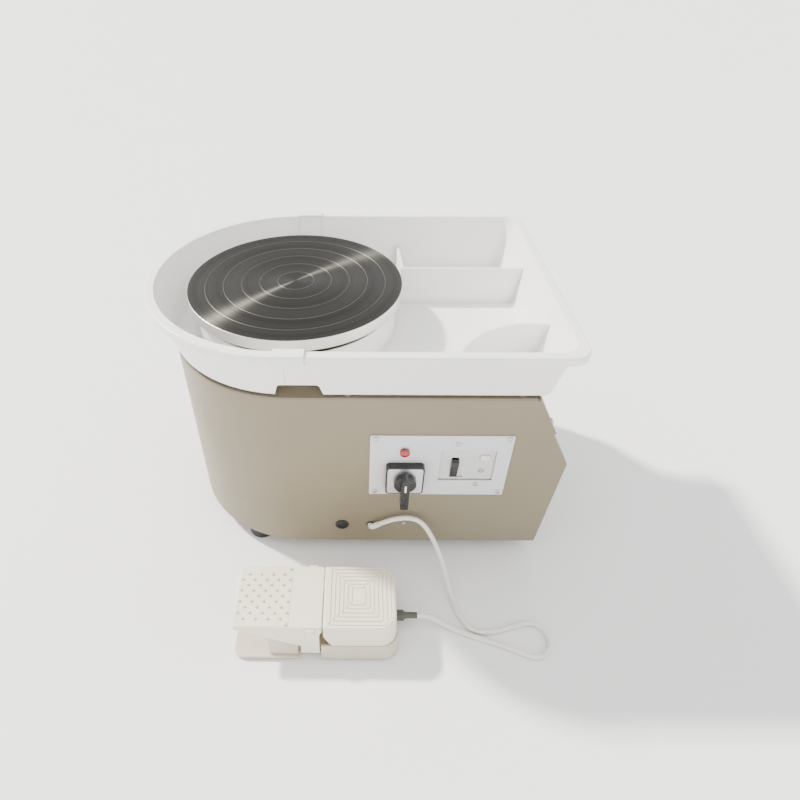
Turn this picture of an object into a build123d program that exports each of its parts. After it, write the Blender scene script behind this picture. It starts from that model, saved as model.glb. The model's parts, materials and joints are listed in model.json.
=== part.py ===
from build123d import *
import os
from math import cos, pi, radians, tan

# Electric pottery wheel: a D-shaped steel cabinet on rubber feet, a belt-driven spindle with a
# grooved wheel head, a splash tray in two halves that slide apart, and a foot pedal on a lead.
# Frame: +Z is the spindle axis, the origin is the centre of the throwing face, +X runs to the tool
# tray and -Y to the potter. Heights below are above the floor; level() turns them into Z.

os.makedirs("parts", exist_ok=True)

# ---------------------------------------------------------------- driving dimensions, millimetres
gap = 0.3  # left between pieces that move past each other
running = 0.1  # radial clearance of a pin in its hole

head_height = 357.0
head_diameter = 280.0
head_plate = 8.0
head_rim_depth = 15.0
head_rim_wall = 7.0
groove_pitch = 23.5
groove_count = 5
groove_width = 1.0
groove_depth = 0.5

body_bottom = 24.0
body_half_width = 164.0
deck_top = 294.0
deck_thickness = 3.0
floor_plate = 2.0
sheet = 1.5
flange = 14.0
end_top_x = 291.0
end_knee_x = 349.0
end_knee_height = 185.0
end_foot_x = 338.0
end_cover_thickness = 3.0
end_cover_length = 66.0

foot_radius = 20.0
foot_spots = {
    "front_left": (-61.0, -125.7),
    "front_right": (296.0, -104.0),
    "back_left": (-61.0, 125.7),
    "back_right": (296.0, 104.0),
}

tray_height = 76.2
tray_half_width = 189.6
tray_end_x = 331.4
tray_rim_width = 8.5
tray_lip_depth = 10.0
tray_wall = 3.0
tray_slope = 13.0  # degrees off upright
tray_corner = 24.0
tray_body_corner = 27.0
tray_foot_round = 12.0
ridge_left_x = -9.0
ridge_right_x = 38.0
ridge_height = 22.6
ridge_flare = 6.0
seam_x = 1.0
strap_left_x = -8.0
strap_right_x = 25.5
strap_wall = 2.2
collar_radius = 133.0
collar_wall = 5.0
collar_height = 36.0
pocket_x = 142.0
pocket_foot_y = 45.0
pocket_top_y = 57.0
pocket_wall = 4.0
pocket_height = 51.0
pocket_back_height = 28.0
corner_pocket_centre = (293.0, -187.0)
corner_pocket_radius = 107.0

shaft_radius = 12.5
shaft_foot_height = 100.0
pulley_seat_radius = 10.0
bearing_outer_radius = 26.0
bearing_width = 15.0
housing_length = 103.0
housing_wall = 7.0
housing_flange_radius = 55.0
housing_bolt_circle = 90.0
deck_hole_radius = 25.5

belt_height = 123.0
belt_width = 14.0
belt_thickness = 3.0
driven_radius = 80.0
motor_pulley_radius = 20.0
motor_x = 205.0
motor_y = 45.0
motor_radius = 46.0
motor_length = 112.0
motor_shaft_radius = 6.0

panel_left_x = 97.6
panel_width = 177.4
panel_bottom = 127.0
panel_height = 108.0
panel_thickness = 1.5
lamp_spot = (141.2, 207.5)
lamp_radius = 6.7
switch_spot = (143.0, 163.5)
switch_side = 49.0
switch_depth = 10.0
knob_radius = 14.5
knob_height = 7.0
lever_width = 10.5
lever_reach = 38.0
lever_height = 8.0
breaker_spot = (222.0, 182.1)
breaker_width = 70.0
breaker_height = 54.8
breaker_recess = 2.5

pedal_left_x = -72.0
pedal_length = 205.0
pedal_front_y = -325.8
pedal_width = 102.8
pedal_height = 60.0
pedal_side_lean = 9.4
pedal_end_lean = 1.8
pedal_split_x = 40.4
pedal_wall = 2.5
pedal_pad_height = 3.0
pedal_floor_height = 6.5
pedal_base_top = 27.5
pedal_pin_x = 25.0
pedal_pin_height = 20.0
pedal_pin_radius = 2.0
pedal_gland_end_x = 161.0

cord_radius = 3.3
cord_hole = (101.0, 60.4)
cord_elbow = (101.0, -169.8, 60.4)
# The lead's route, height above the floor last: out of the cabinet, over, down its front, along
# the floor, round a bend and back to the pedal.
cord_route = [
    (112.5, -170.4, 68.6),
    (125.7, -171.1, 78.0),
    (140.0, -171.6, 83.4),
    (155.0, -172.2, 85.4),
    (168.5, -173.6, 80.0),
    (178.5, -177.0, 68.5),
    (187.5, -183.5, 54.0),
    (195.5, -193.0, 39.0),
    (202.0, -206.0, 24.0),
    (207.0, -222.5, 11.5),
    (211.0, -241.5, 3.9),
    (215.5, -259.5, 3.5),
    (220.5, -273.5, 3.5),
    (234.0, -290.4, 3.5),
    (257.4, -290.8, 3.5),
    (281.0, -284.2, 3.5),
    (309.8, -276.0, 3.5),
    (325.6, -284.4, 3.5),
    (331.3, -301.4, 3.5),
    (323.6, -317.6, 3.5),
    (306.8, -323.9, 3.5),
    (286.0, -314.9, 3.5),
    (264.5, -306.2, 3.5),
    (243.0, -299.3, 3.5),
    (222.5, -292.6, 3.5),
    (204.0, -284.6, 3.9),
    (188.0, -278.6, 9.0),
    (174.5, -274.4, 15.0),
    (161.0, -274.4, 15.0),
]


# ---------------------------------------------------------------- sizes worked out from the above
def level(height):
    """Z of a height above the floor."""
    return height - head_height


head_radius = head_diameter / 2
shell_bottom = body_bottom + floor_plate
shell_top = deck_top - deck_thickness
tray_bottom = deck_top + gap
tray_top = tray_bottom + tray_height
housing_foot = shell_top - housing_length
hub_top = head_height - head_plate
hub_flange = 8.0
hub_flange_radius = 45.0
hub_radius = 25.0
hub_foot = deck_top + 18.0

front = Plane.XZ.offset(body_half_width)  # local x is X, local y is Z, outward is -Y
back = Plane.XZ.offset(-body_half_width)  # the same axes, inward is -Y
panel_face = Plane.XZ.offset(body_half_width + panel_thickness)


def finish(builder, name):
    """Label a finished piece and write it to parts/."""
    builder.part.label = name
    export_step(builder.part, f"parts/{name}.step")


def at(spot):
    """Place a front-panel spot, given as X and a height, in a front plane's own axes."""
    return (spot[0], level(spot[1]))


def end_x(height):
    """X of the cabinet's folded end at a height."""
    if height > end_knee_height:
        share = (height - end_knee_height) / (deck_top - end_knee_height)
        return end_knee_x + share * (end_top_x - end_knee_x)
    share = (height - body_bottom) / (end_knee_height - body_bottom)
    return end_foot_x + share * (end_knee_x - end_foot_x)


def body_outline(inset, right_x):
    """Cabinet plan: half round about the spindle, straight sides to right_x."""
    Circle(body_half_width - inset)
    Rectangle(right_x, 2 * (body_half_width - inset), align=(Align.MIN, Align.CENTER))


def pan_screws(plane, spots, radius, shank):
    """Pan-head screws seated on a plane, with a cross recess and the shank running back."""
    head = radius * 0.6
    with BuildPart() as screws:
        with BuildSketch(plane):
            with Locations(*spots):
                Circle(radius)
        extrude(amount=head)
        outward = Axis(plane.origin, plane.z_dir)
        fillet(screws.faces().sort_by(outward)[-len(spots):].edges(), head * 0.6)
        with BuildSketch(plane):
            with Locations(*spots):
                Circle(radius * 0.5)
        extrude(amount=-shank)
        with BuildSketch(plane.offset(head)):
            with Locations(*spots):
                Rectangle(radius * 1.2, radius * 0.25, rotation=20)
                Rectangle(radius * 1.2, radius * 0.25, rotation=110)
        extrude(amount=-head * 0.6, mode=Mode.SUBTRACT)
    return screws


def hex_screws(height, spots, across, head, shank):
    """Hexagon-head screws standing on a level, with the shank running down."""
    with BuildPart() as screws:
        with BuildSketch(Plane.XY.offset(level(height))):
            with Locations(*spots):
                RegularPolygon(across / 2, 6, major_radius=False)
        extrude(amount=head)
        with BuildSketch(Plane.XY.offset(level(height))):
            with Locations(*spots):
                Circle(across * 0.3)
        extrude(amount=-shank)
    return screws


# ---------------------------------------------------------------- cabinet
deck_screw_spots = [
    (-156, 0), (-111, 110), (-111, -110), (70, 156), (70, -156), (275, 156), (275, -156),
]
bracket_width = 118.0
bracket_depth = 96.0
bracket_lug = 16.0
bracket_screw_spots = [
    (motor_x + side_x * (bracket_width + bracket_lug) / 2, motor_y + side_y * 34)
    for side_x in (-1, 1)
    for side_y in (-1, 1)
]
housing_bolt_spots = [
    (side_x * housing_bolt_circle / 2 * cos(pi / 4), side_y * housing_bolt_circle / 2 * cos(pi / 4))
    for side_x in (-1, 1)
    for side_y in (-1, 1)
]
panel_screw_spots = [at((x, height)) for x in (105.0, 268.7) for height in (133.6, 230.2)]
breaker_screw_spots = [at((206.8, 221.3)), at((237.1, 148.4))]
plug_spot = (60.8, 59.4)
plug_radius = 9.5
front_screw_spot = (147.5, 63.6)
cut_out_centre = (187.0, 182.0)
cut_out_size = (152.0, 86.0)
inlet_spot = (236.0, 74.0)
inlet_size = (27.6, 20.0)
gland_radius = 4.8
sleeve_radius = 3.9

with BuildPart() as body_shell:
    with BuildSketch(Plane.XY.offset(level(shell_bottom))):
        body_outline(0, end_knee_x)
    extrude(amount=shell_top - shell_bottom)
    with BuildSketch(Plane.XY.offset(level(shell_bottom + sheet))):
        body_outline(sheet, end_knee_x + flange)
    extrude(amount=shell_top - shell_bottom - 2 * sheet, mode=Mode.SUBTRACT)
    with BuildSketch(Plane.XY.offset(level(shell_bottom))):
        body_outline(flange, end_knee_x + flange)
    extrude(amount=shell_top - shell_bottom, mode=Mode.SUBTRACT)
    with BuildSketch(Plane.XZ):
        with BuildLine():
            Polyline(
                (end_x(deck_top), level(deck_top)),
                (end_knee_x, level(end_knee_height)),
                (end_x(body_bottom), level(body_bottom)),
                (end_knee_x + flange, level(body_bottom)),
                (end_knee_x + flange, level(deck_top)),
                close=True,
            )
        make_face()
    extrude(amount=body_half_width + 1, both=True, mode=Mode.SUBTRACT)
    # the opening behind the control panel, the lead's hole, the plugged hole and a screw hole
    with BuildSketch(front):
        with Locations(at(cut_out_centre)):
            Rectangle(*cut_out_size)
        with Locations(at(plug_spot)):
            Circle(plug_radius - 2)
        with Locations(at(cord_hole)):
            Circle(gland_radius)
        with Locations(at(front_screw_spot)):
            Circle(1.6)
        with Locations(*panel_screw_spots):
            Circle(1.8)
    extrude(amount=-sheet, mode=Mode.SUBTRACT)
    # cooling slots and the mains inlet's opening in the back
    with BuildSketch(back):
        with GridLocations(11, 0, 14, 1):
            with Locations((110, level(200))):
                SlotOverall(46, 5, rotation=90)
        with Locations(at(inlet_spot)):
            Rectangle(*inlet_size)
    extrude(amount=sheet, mode=Mode.SUBTRACT)
    with BuildSketch(Plane.XY.offset(level(shell_top))):
        with Locations(*deck_screw_spots):
            Circle(2.3)
    extrude(amount=-sheet, mode=Mode.SUBTRACT)
finish(body_shell, "body_shell")

slope_x = end_knee_x - end_top_x
slope_z = deck_top - end_knee_height
slope_length = (slope_x**2 + slope_z**2) ** 0.5
# a plane lying on the upper slanted face: local x is Y, local y runs up the slope
end_face = Plane(
    origin=(end_top_x, 0, level(deck_top)),
    x_dir=(0, 1, 0),
    z_dir=(slope_z / slope_length, 0, slope_x / slope_length),
)
end_cover_spots = [(side * 148, -depth) for side in (-1, 1) for depth in (9, end_cover_length - 9)]
end_inside = [
    (end_x(shell_top) - sheet, shell_top),
    (end_knee_x - sheet, end_knee_height),
    (end_x(shell_bottom) - sheet, shell_bottom),
]
with BuildPart() as end_panel:
    with BuildSketch(Plane.XZ):
        with BuildLine():
            Polyline(
                (end_x(shell_top), level(shell_top)),
                (end_knee_x, level(end_knee_height)),
                (end_x(shell_bottom), level(shell_bottom)),
                (end_inside[2][0], level(shell_bottom)),
                (end_inside[1][0], level(end_knee_height)),
                (end_inside[0][0], level(shell_top)),
                close=True,
            )
        make_face()
    extrude(amount=body_half_width - sheet - 0.05, both=True)
    # the shell's two flanges pass through notches in the panel's corners
    with BuildSketch(Plane.YZ.offset(end_top_x - flange)):
        with Locations(*[
            (side * body_half_width, level(height))
            for side in (-1, 1)
            for height in (shell_top, shell_bottom)
        ]):
            Rectangle(2 * flange + 0.4, 2 * sheet + 0.2)
    extrude(amount=end_knee_x, mode=Mode.SUBTRACT)
    with BuildSketch(end_face):
        with Locations(*end_cover_spots):
            Circle(2.1)
    extrude(amount=-2 * sheet, mode=Mode.SUBTRACT)
    # cooling slots in the lower face
    with BuildSketch(Plane.YZ.offset(end_top_x)):
        with GridLocations(24, 11, 7, 4):
            with Locations((0, level(100))):
                SlotOverall(18, 5)
    extrude(amount=end_knee_x, mode=Mode.SUBTRACT)
finish(end_panel, "end_panel")

with BuildPart() as end_cover:
    with BuildSketch(end_face):
        with Locations((0, -end_cover_length / 2 - 1.6)):
            RectangleRounded(2 * body_half_width, end_cover_length - 3.2, 2)
    extrude(amount=end_cover_thickness)
    with BuildSketch(end_face):
        with Locations(*end_cover_spots):
            Circle(2.2)
    extrude(amount=end_cover_thickness, mode=Mode.SUBTRACT)
finish(end_cover, "end_cover")

end_cover_screws = pan_screws(
    end_face.offset(end_cover_thickness), end_cover_spots, 4.0, end_cover_thickness + sheet
)
finish(end_cover_screws, "end_cover_screws")

with BuildPart() as deck:
    with BuildSketch(Plane.XY.offset(level(shell_top))):
        body_outline(0, end_top_x)
        Circle(deck_hole_radius, mode=Mode.SUBTRACT)
        with Locations(*housing_bolt_spots):
            Circle(4.2, mode=Mode.SUBTRACT)
    extrude(amount=deck_thickness)
    with Locations(*[(x, y, level(deck_top)) for x, y in deck_screw_spots + bracket_screw_spots]):
        CounterSinkHole(2.6, 5.2, deck_thickness, 90)
finish(deck, "deck")

with BuildPart() as deck_screws:
    for x, y in deck_screw_spots + bracket_screw_spots:
        with Locations((x, y, level(deck_top) - 0.2)):
            Cone(2.4, 4.9, 2.5, align=(Align.CENTER, Align.CENTER, Align.MAX))
            Cylinder(2.2, 9, align=(Align.CENTER, Align.CENTER, Align.MAX))
finish(deck_screws, "deck_screws")

with BuildPart() as bottom_plate:
    with BuildSketch(Plane.XY.offset(level(body_bottom))):
        body_outline(0, end_x(body_bottom) - 0.3)
        with Locations(*foot_spots.values()):
            Circle(3.2, mode=Mode.SUBTRACT)
        with GridLocations(60, 14, 2, 5):
            with Locations((motor_x, 20)):
                SlotOverall(42, 6, mode=Mode.SUBTRACT)
    extrude(amount=floor_plate)
finish(bottom_plate, "bottom_plate")

foot_bore_depth = 8.0
for corner, (foot_x, foot_y) in foot_spots.items():
    with BuildPart() as foot:
        with Locations((foot_x, foot_y, level(0))):
            Cone(
                foot_radius, foot_radius - 3, body_bottom,
                align=(Align.CENTER, Align.CENTER, Align.MIN),
            )
        chamfer(foot.edges().filter_by(GeomType.CIRCLE).group_by(Axis.Z)[0], 1.0)
        with Locations((foot_x, foot_y, level(0))):
            Cylinder(
                7.5, foot_bore_depth, align=(Align.CENTER, Align.CENTER, Align.MIN),
                mode=Mode.SUBTRACT,
            )
            Cylinder(
                3.2, body_bottom, align=(Align.CENTER, Align.CENTER, Align.MIN),
                mode=Mode.SUBTRACT,
            )
    finish(foot, f"foot_{corner}")

with BuildPart() as foot_screws:
    with Locations(*[(x, y, level(foot_bore_depth)) for x, y in foot_spots.values()]):
        Cylinder(6, 4, align=(Align.CENTER, Align.CENTER, Align.MAX))
        Cylinder(3, 26, align=(Align.CENTER, Align.CENTER, Align.MIN))
    with Locations(*[(x, y, level(shell_bottom)) for x, y in foot_spots.values()]):
        Cylinder(5.5, 5, align=(Align.CENTER, Align.CENTER, Align.MIN))
finish(foot_screws, "foot_screws")

# ---------------------------------------------------------------- spindle and its bearings
upper_bearing_top = shell_top
lower_bearing_foot = housing_foot + 3.0

with BuildPart() as bearing_housing:
    with BuildSketch(Plane.XY.offset(level(housing_foot))):
        Circle(bearing_outer_radius + housing_wall)
    extrude(amount=housing_length)
    with BuildSketch(Plane.XY.offset(level(shell_top))):
        Circle(housing_flange_radius)
    extrude(amount=-8)
    with BuildSketch(Plane.XZ):
        with BuildLine():
            Polyline(
                (20, level(shell_top - 8)), (housing_flange_radius - 4, level(shell_top - 8)),
                (bearing_outer_radius + housing_wall, level(housing_foot + 25)),
                (20, level(housing_foot + 25)), close=True,
            )
        make_face()
    rib = extrude(amount=3, both=True)
    for turn in (90, 180, 270):
        add(rib.rotate(Axis.Z, turn))
    with BuildSketch(Plane.XY.offset(level(shell_top))):
        Circle(bearing_outer_radius - 4)
        with Locations(*housing_bolt_spots):
            Circle(4.2)
    extrude(amount=-housing_length, mode=Mode.SUBTRACT)
    with BuildSketch(Plane.XY.offset(level(shell_top))):
        Circle(bearing_outer_radius + 0.02)
    extrude(amount=-bearing_width - 0.1, mode=Mode.SUBTRACT)
    with BuildSketch(Plane.XY.offset(level(housing_foot))):
        Circle(bearing_outer_radius + 0.02)
    extrude(amount=lower_bearing_foot - housing_foot + bearing_width + 0.1, mode=Mode.SUBTRACT)
finish(bearing_housing, "bearing_housing")


def bearing(foot_height, name):
    """A shielded ball bearing standing on foot_height."""
    with BuildPart() as race:
        with BuildSketch(Plane.XY.offset(level(foot_height))):
            Circle(bearing_outer_radius)
            Circle(shaft_radius + running / 2, mode=Mode.SUBTRACT)
        extrude(amount=bearing_width)
        for height, amount in ((foot_height, 1.2), (foot_height + bearing_width, -1.2)):
            with BuildSketch(Plane.XY.offset(level(height))):
                Circle(bearing_outer_radius - 3.5)
                Circle(shaft_radius + 3.5, mode=Mode.SUBTRACT)
            extrude(amount=amount, mode=Mode.SUBTRACT)
    finish(race, name)


bearing(upper_bearing_top - bearing_width, "bearing_upper")
bearing(lower_bearing_foot, "bearing_lower")

with BuildPart() as housing_bolts:
    add(hex_screws(deck_top, housing_bolt_spots, 13, 5.3, 26).part)
    with BuildSketch(Plane.XY.offset(level(shell_top - 8))):
        with Locations(*housing_bolt_spots):
            RegularPolygon(6.5, 6, major_radius=False)
    extrude(amount=-6.5)
finish(housing_bolts, "housing_bolts")

with BuildPart() as spindle_shaft:
    with BuildSketch(Plane.XY.offset(level(belt_height + belt_width / 2 + 3))):
        Circle(shaft_radius)
    extrude(amount=hub_top - belt_height - belt_width / 2 - 3)
    with BuildSketch(Plane.XY.offset(level(shaft_foot_height))):
        Circle(pulley_seat_radius)
    extrude(amount=belt_height + belt_width / 2 + 3 - shaft_foot_height)
    chamfer(spindle_shaft.edges().group_by(Axis.Z)[0], 1.0)
finish(spindle_shaft, "spindle_shaft")

with BuildPart() as wheel_head:
    with BuildSketch(Plane.XZ):
        with BuildLine():
            Polyline(
                (0, 0), (head_radius, 0), (head_radius, -head_rim_depth),
                (head_radius - head_rim_wall, -head_rim_depth),
                (head_radius - head_rim_wall, -head_plate), (0, -head_plate), close=True,
            )
        make_face()
        for ring in range(1, groove_count + 1):
            with BuildLine():
                Polyline(
                    (ring * groove_pitch - groove_width / 2, 0),
                    (ring * groove_pitch, -groove_depth),
                    (ring * groove_pitch + groove_width / 2, 0),
                    close=True,
                )
            make_face(mode=Mode.SUBTRACT)
    revolve(axis=Axis.Z)
    rim_edges = wheel_head.edges().filter_by(GeomType.CIRCLE).filter_by(
        lambda edge: edge.radius > head_radius - 0.5
    )
    chamfer(rim_edges, 0.9)
finish(wheel_head, "wheel_head")

hub_screw_spots = [(32, 0), (-32, 0), (0, 32), (0, -32)]
with BuildPart() as head_hub:
    with BuildSketch(Plane.XY.offset(level(hub_top - hub_flange))):
        Circle(hub_flange_radius)
    extrude(amount=hub_flange)
    with BuildSketch(Plane.XY.offset(level(hub_foot))):
        Circle(hub_radius)
    extrude(amount=hub_top - hub_flange - hub_foot)
    with BuildSketch(Plane.XY.offset(level(hub_foot))):
        Circle(shaft_radius + 0.02)
        with Locations(*hub_screw_spots):
            Circle(3.2)
    extrude(amount=hub_top - hub_foot, mode=Mode.SUBTRACT)
    fillet(head_hub.edges().filter_by(GeomType.CIRCLE).group_by(Axis.Z)[-2:-1], 1.0)
finish(head_hub, "head_hub")

with BuildPart() as head_screws:
    with BuildSketch(Plane.XY.offset(level(hub_top - hub_flange))):
        with Locations(*hub_screw_spots):
            RegularPolygon(5, 6, major_radius=False)
    extrude(amount=-4)
    with BuildSketch(Plane.XY.offset(level(hub_top - hub_flange))):
        with Locations(*hub_screw_spots):
            Circle(3)
    extrude(amount=hub_flange)
finish(head_screws, "head_screws")

pulley_face = belt_width + 2.0
with BuildPart() as driven_pulley:
    with BuildSketch(Plane.XY.offset(level(belt_height - pulley_face / 2))):
        Circle(driven_radius)
        Circle(driven_radius - 6, mode=Mode.SUBTRACT)
    extrude(amount=pulley_face)
    for height in (belt_height - pulley_face / 2, belt_height + pulley_face / 2 - 1.5):
        with BuildSketch(Plane.XY.offset(level(height - (1.5 if height < belt_height else -1.5)))):
            Circle(driven_radius + 5)
            Circle(driven_radius - 6, mode=Mode.SUBTRACT)
        extrude(amount=1.5)
    with BuildSketch(Plane.XY.offset(level(belt_height - 3))):
        Circle(driven_radius - 4)
        with PolarLocations(48, 6):
            Circle(15, mode=Mode.SUBTRACT)
    extrude(amount=6)
    with BuildSketch(Plane.XY.offset(level(belt_height - pulley_face / 2 - 1.5))):
        Circle(24)
    extrude(amount=belt_width + 5)
    with BuildSketch(Plane.XY.offset(level(belt_height - pulley_face / 2 - 1.5))):
        Circle(pulley_seat_radius + 0.02)
    extrude(amount=belt_width + 5 + 2, mode=Mode.SUBTRACT)
finish(driven_pulley, "driven_pulley")

with BuildPart() as pulley_nut:
    with BuildSketch(Plane.XY.offset(level(belt_height - pulley_face / 2 - 1.5))):
        RegularPolygon(14, 6, major_radius=False)
        Circle(pulley_seat_radius + 0.02, mode=Mode.SUBTRACT)
    extrude(amount=-10)
finish(pulley_nut, "pulley_nut")

# ---------------------------------------------------------------- motor and belt
motor_foot = 150.0
motor_spot = (motor_x, motor_y)


def belt_loop(offset):
    """The belt line round both pulleys, set out by offset."""
    with Locations((0, 0)):
        Circle(driven_radius + offset)
    with Locations(motor_spot):
        Circle(motor_pulley_radius + offset)
    make_hull()


with BuildPart() as drive_belt:
    with BuildSketch(Plane.XY.offset(level(belt_height - belt_width / 2))):
        belt_loop(gap + belt_thickness)
    extrude(amount=belt_width)
    with BuildSketch(Plane.XY.offset(level(belt_height - belt_width / 2))):
        belt_loop(gap)
    extrude(amount=belt_width, mode=Mode.SUBTRACT)
finish(drive_belt, "drive_belt")

with BuildPart() as motor_body:
    with Locations((motor_x, motor_y, level(motor_foot))):
        Cylinder(motor_radius, motor_length, align=(Align.CENTER, Align.CENTER, Align.MIN))
    fillet(motor_body.edges().filter_by(GeomType.CIRCLE), 3)
    with BuildSketch(Plane.XY.offset(level(motor_foot))):
        with Locations(motor_spot):
            Circle(15)
    extrude(amount=-6)
    with BuildSketch(Plane.XY.offset(level(motor_foot + 12))):
        with Locations(motor_spot):
            with PolarLocations(motor_radius, 24):
                Rectangle(3.0, 3.0)
    extrude(amount=motor_length - 24, mode=Mode.SUBTRACT)
    with BuildSketch(Plane.XY.offset(level(motor_foot - 6))):
        with Locations(motor_spot):
            Circle(motor_shaft_radius + running / 2)
    extrude(amount=46, mode=Mode.SUBTRACT)
finish(motor_body, "motor_body")

with BuildPart() as motor_bracket:
    with BuildSketch(Plane.XY.offset(level(motor_foot))):
        with Locations(motor_spot):
            Rectangle(bracket_width, bracket_depth)
            Circle(15.1, mode=Mode.SUBTRACT)
            with GridLocations(84, 70, 2, 2):
                SlotOverall(16, 6, mode=Mode.SUBTRACT)
    extrude(amount=-3)
    for side in (-1, 1):
        with BuildSketch(Plane.XY.offset(level(motor_foot - 3))):
            with Locations((motor_x + side * (bracket_width - 3) / 2, motor_y)):
                Rectangle(3, bracket_depth)
        extrude(amount=shell_top - motor_foot + 3)
        with BuildSketch(Plane.XY.offset(level(shell_top))):
            with Locations((motor_x + side * (bracket_width + bracket_lug) / 2, motor_y)):
                Rectangle(bracket_lug, bracket_depth)
                with Locations((0, 34), (0, -34)):
                    Circle(2.3, mode=Mode.SUBTRACT)
        extrude(amount=-3)
finish(motor_bracket, "motor_bracket")

with BuildPart() as motor_shaft:
    with BuildSketch(Plane.XY.offset(level(belt_height - 12))):
        with Locations(motor_spot):
            Circle(motor_shaft_radius)
    extrude(amount=62)
    chamfer(motor_shaft.edges().group_by(Axis.Z)[0], 0.8)
finish(motor_shaft, "motor_shaft")

with BuildPart() as motor_pulley:
    with BuildSketch(Plane.XY.offset(level(belt_height - pulley_face / 2))):
        with Locations(motor_spot):
            Circle(motor_pulley_radius)
    extrude(amount=pulley_face)
    for height, amount in (
        (belt_height - pulley_face / 2, -1.5),
        (belt_height + pulley_face / 2, 1.5),
    ):
        with BuildSketch(Plane.XY.offset(level(height))):
            with Locations(motor_spot):
                Circle(motor_pulley_radius + 4.5)
        extrude(amount=amount)
    with BuildSketch(Plane.XY.offset(level(belt_height - pulley_face / 2 - 1.5))):
        with Locations(motor_spot):
            Circle(motor_shaft_radius + 0.02)
    extrude(amount=pulley_face + 3, mode=Mode.SUBTRACT)
finish(motor_pulley, "motor_pulley")

# ---------------------------------------------------------------- speed controller
controller_spot = (232.0, -62.0)
controller_size = (110.0, 74.0)
heat_sink_height = 24.0

with BuildPart() as controller_heat_sink:
    with BuildSketch(Plane.XY.offset(level(shell_bottom))):
        with Locations(controller_spot):
            Rectangle(*controller_size)
    extrude(amount=heat_sink_height)
    with BuildSketch(Plane.XZ):
        with Locations((controller_spot[0], level(shell_bottom))):
            with GridLocations(9, 0, 12, 1):
                Rectangle(5.5, 2 * (heat_sink_height - 6))
    extrude(amount=controller_size[1] * 2, both=True, mode=Mode.SUBTRACT)
finish(controller_heat_sink, "controller_heat_sink")

with BuildPart() as controller_cover:
    with BuildSketch(Plane.XY.offset(level(shell_bottom + heat_sink_height))):
        with Locations(controller_spot):
            RectangleRounded(*controller_size, 4)
    extrude(amount=30)
    fillet(controller_cover.edges().group_by(Axis.Z)[-1], 2)
    with BuildSketch(Plane.XY.offset(level(shell_bottom + heat_sink_height))):
        with Locations(controller_spot):
            RectangleRounded(controller_size[0] - 4, controller_size[1] - 4, 2)
    extrude(amount=28, mode=Mode.SUBTRACT)
finish(controller_cover, "controller_cover")

# ---------------------------------------------------------------- control panel
with BuildPart() as control_panel:
    with BuildSketch(front):
        with Locations((panel_left_x + panel_width / 2, level(panel_bottom + panel_height / 2))):
            RectangleRounded(panel_width, panel_height, 2)
        with Locations(at(lamp_spot)):
            Circle(lamp_radius - 0.7, mode=Mode.SUBTRACT)
        with Locations(at(switch_spot)):
            Circle(9, mode=Mode.SUBTRACT)
        with Locations(at(breaker_spot)):
            Rectangle(breaker_width, breaker_height, mode=Mode.SUBTRACT)
        with Locations(*panel_screw_spots, *breaker_screw_spots):
            Circle(1.8, mode=Mode.SUBTRACT)
    extrude(amount=panel_thickness)
finish(control_panel, "control_panel")

panel_screws = pan_screws(panel_face, panel_screw_spots, 3.4, 8)
finish(panel_screws, "panel_screws")

with BuildPart() as lamp_lens:
    with BuildSketch(panel_face.offset(0.8)):
        with Locations(at(lamp_spot)):
            Circle(lamp_radius)
    extrude(amount=4.6)
    fillet(lamp_lens.edges().group_by(Axis.Y)[0], 4.4)
finish(lamp_lens, "lamp_lens")

with BuildPart() as lamp_holder:
    with BuildSketch(panel_face):
        with Locations(at(lamp_spot)):
            Circle(lamp_radius + 1.2)
    extrude(amount=0.8)
    with BuildSketch(panel_face):
        with Locations(at(lamp_spot)):
            Circle(lamp_radius - 0.8)
    extrude(amount=-24)
finish(lamp_holder, "lamp_holder")

with BuildPart() as switch_body:
    with BuildSketch(Plane.XZ.offset(body_half_width - sheet)):
        with Locations(at(switch_spot)):
            RectangleRounded(44, 44, 3)
    extrude(amount=-40)
    with BuildSketch(front):
        with Locations(at(switch_spot)):
            Circle(8.8)
    extrude(amount=-sheet)
    with BuildSketch(front):
        with Locations(at(switch_spot)):
            Circle(3 + running)
    extrude(amount=-14, mode=Mode.SUBTRACT)
finish(switch_body, "switch_body")

switch_face = panel_face.offset(switch_depth)
label_inset = 2.0
label_depth = 0.8
with BuildPart() as switch_frame:
    with BuildSketch(panel_face):
        with Locations(at(switch_spot)):
            RectangleRounded(switch_side, switch_side, 5)
    extrude(amount=switch_depth)
    fillet(switch_frame.edges().group_by(Axis.Y)[0], 0.7)
    with BuildSketch(switch_face):
        with Locations(at(switch_spot)):
            RectangleRounded(switch_side - 2 * label_inset, switch_side - 2 * label_inset, 3.5)
    extrude(amount=-label_depth, mode=Mode.SUBTRACT)
    with BuildSketch(switch_face):
        with Locations(at(switch_spot)):
            Circle(9)
    extrude(amount=-switch_depth, mode=Mode.SUBTRACT)
finish(switch_frame, "switch_frame")

with BuildPart() as switch_label:
    with BuildSketch(switch_face.offset(-label_depth)):
        with Locations(at(switch_spot)):
            RectangleRounded(switch_side - 2 * label_inset, switch_side - 2 * label_inset, 3.5)
            Circle(9, mode=Mode.SUBTRACT)
    extrude(amount=label_depth)
finish(switch_label, "switch_label")

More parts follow.
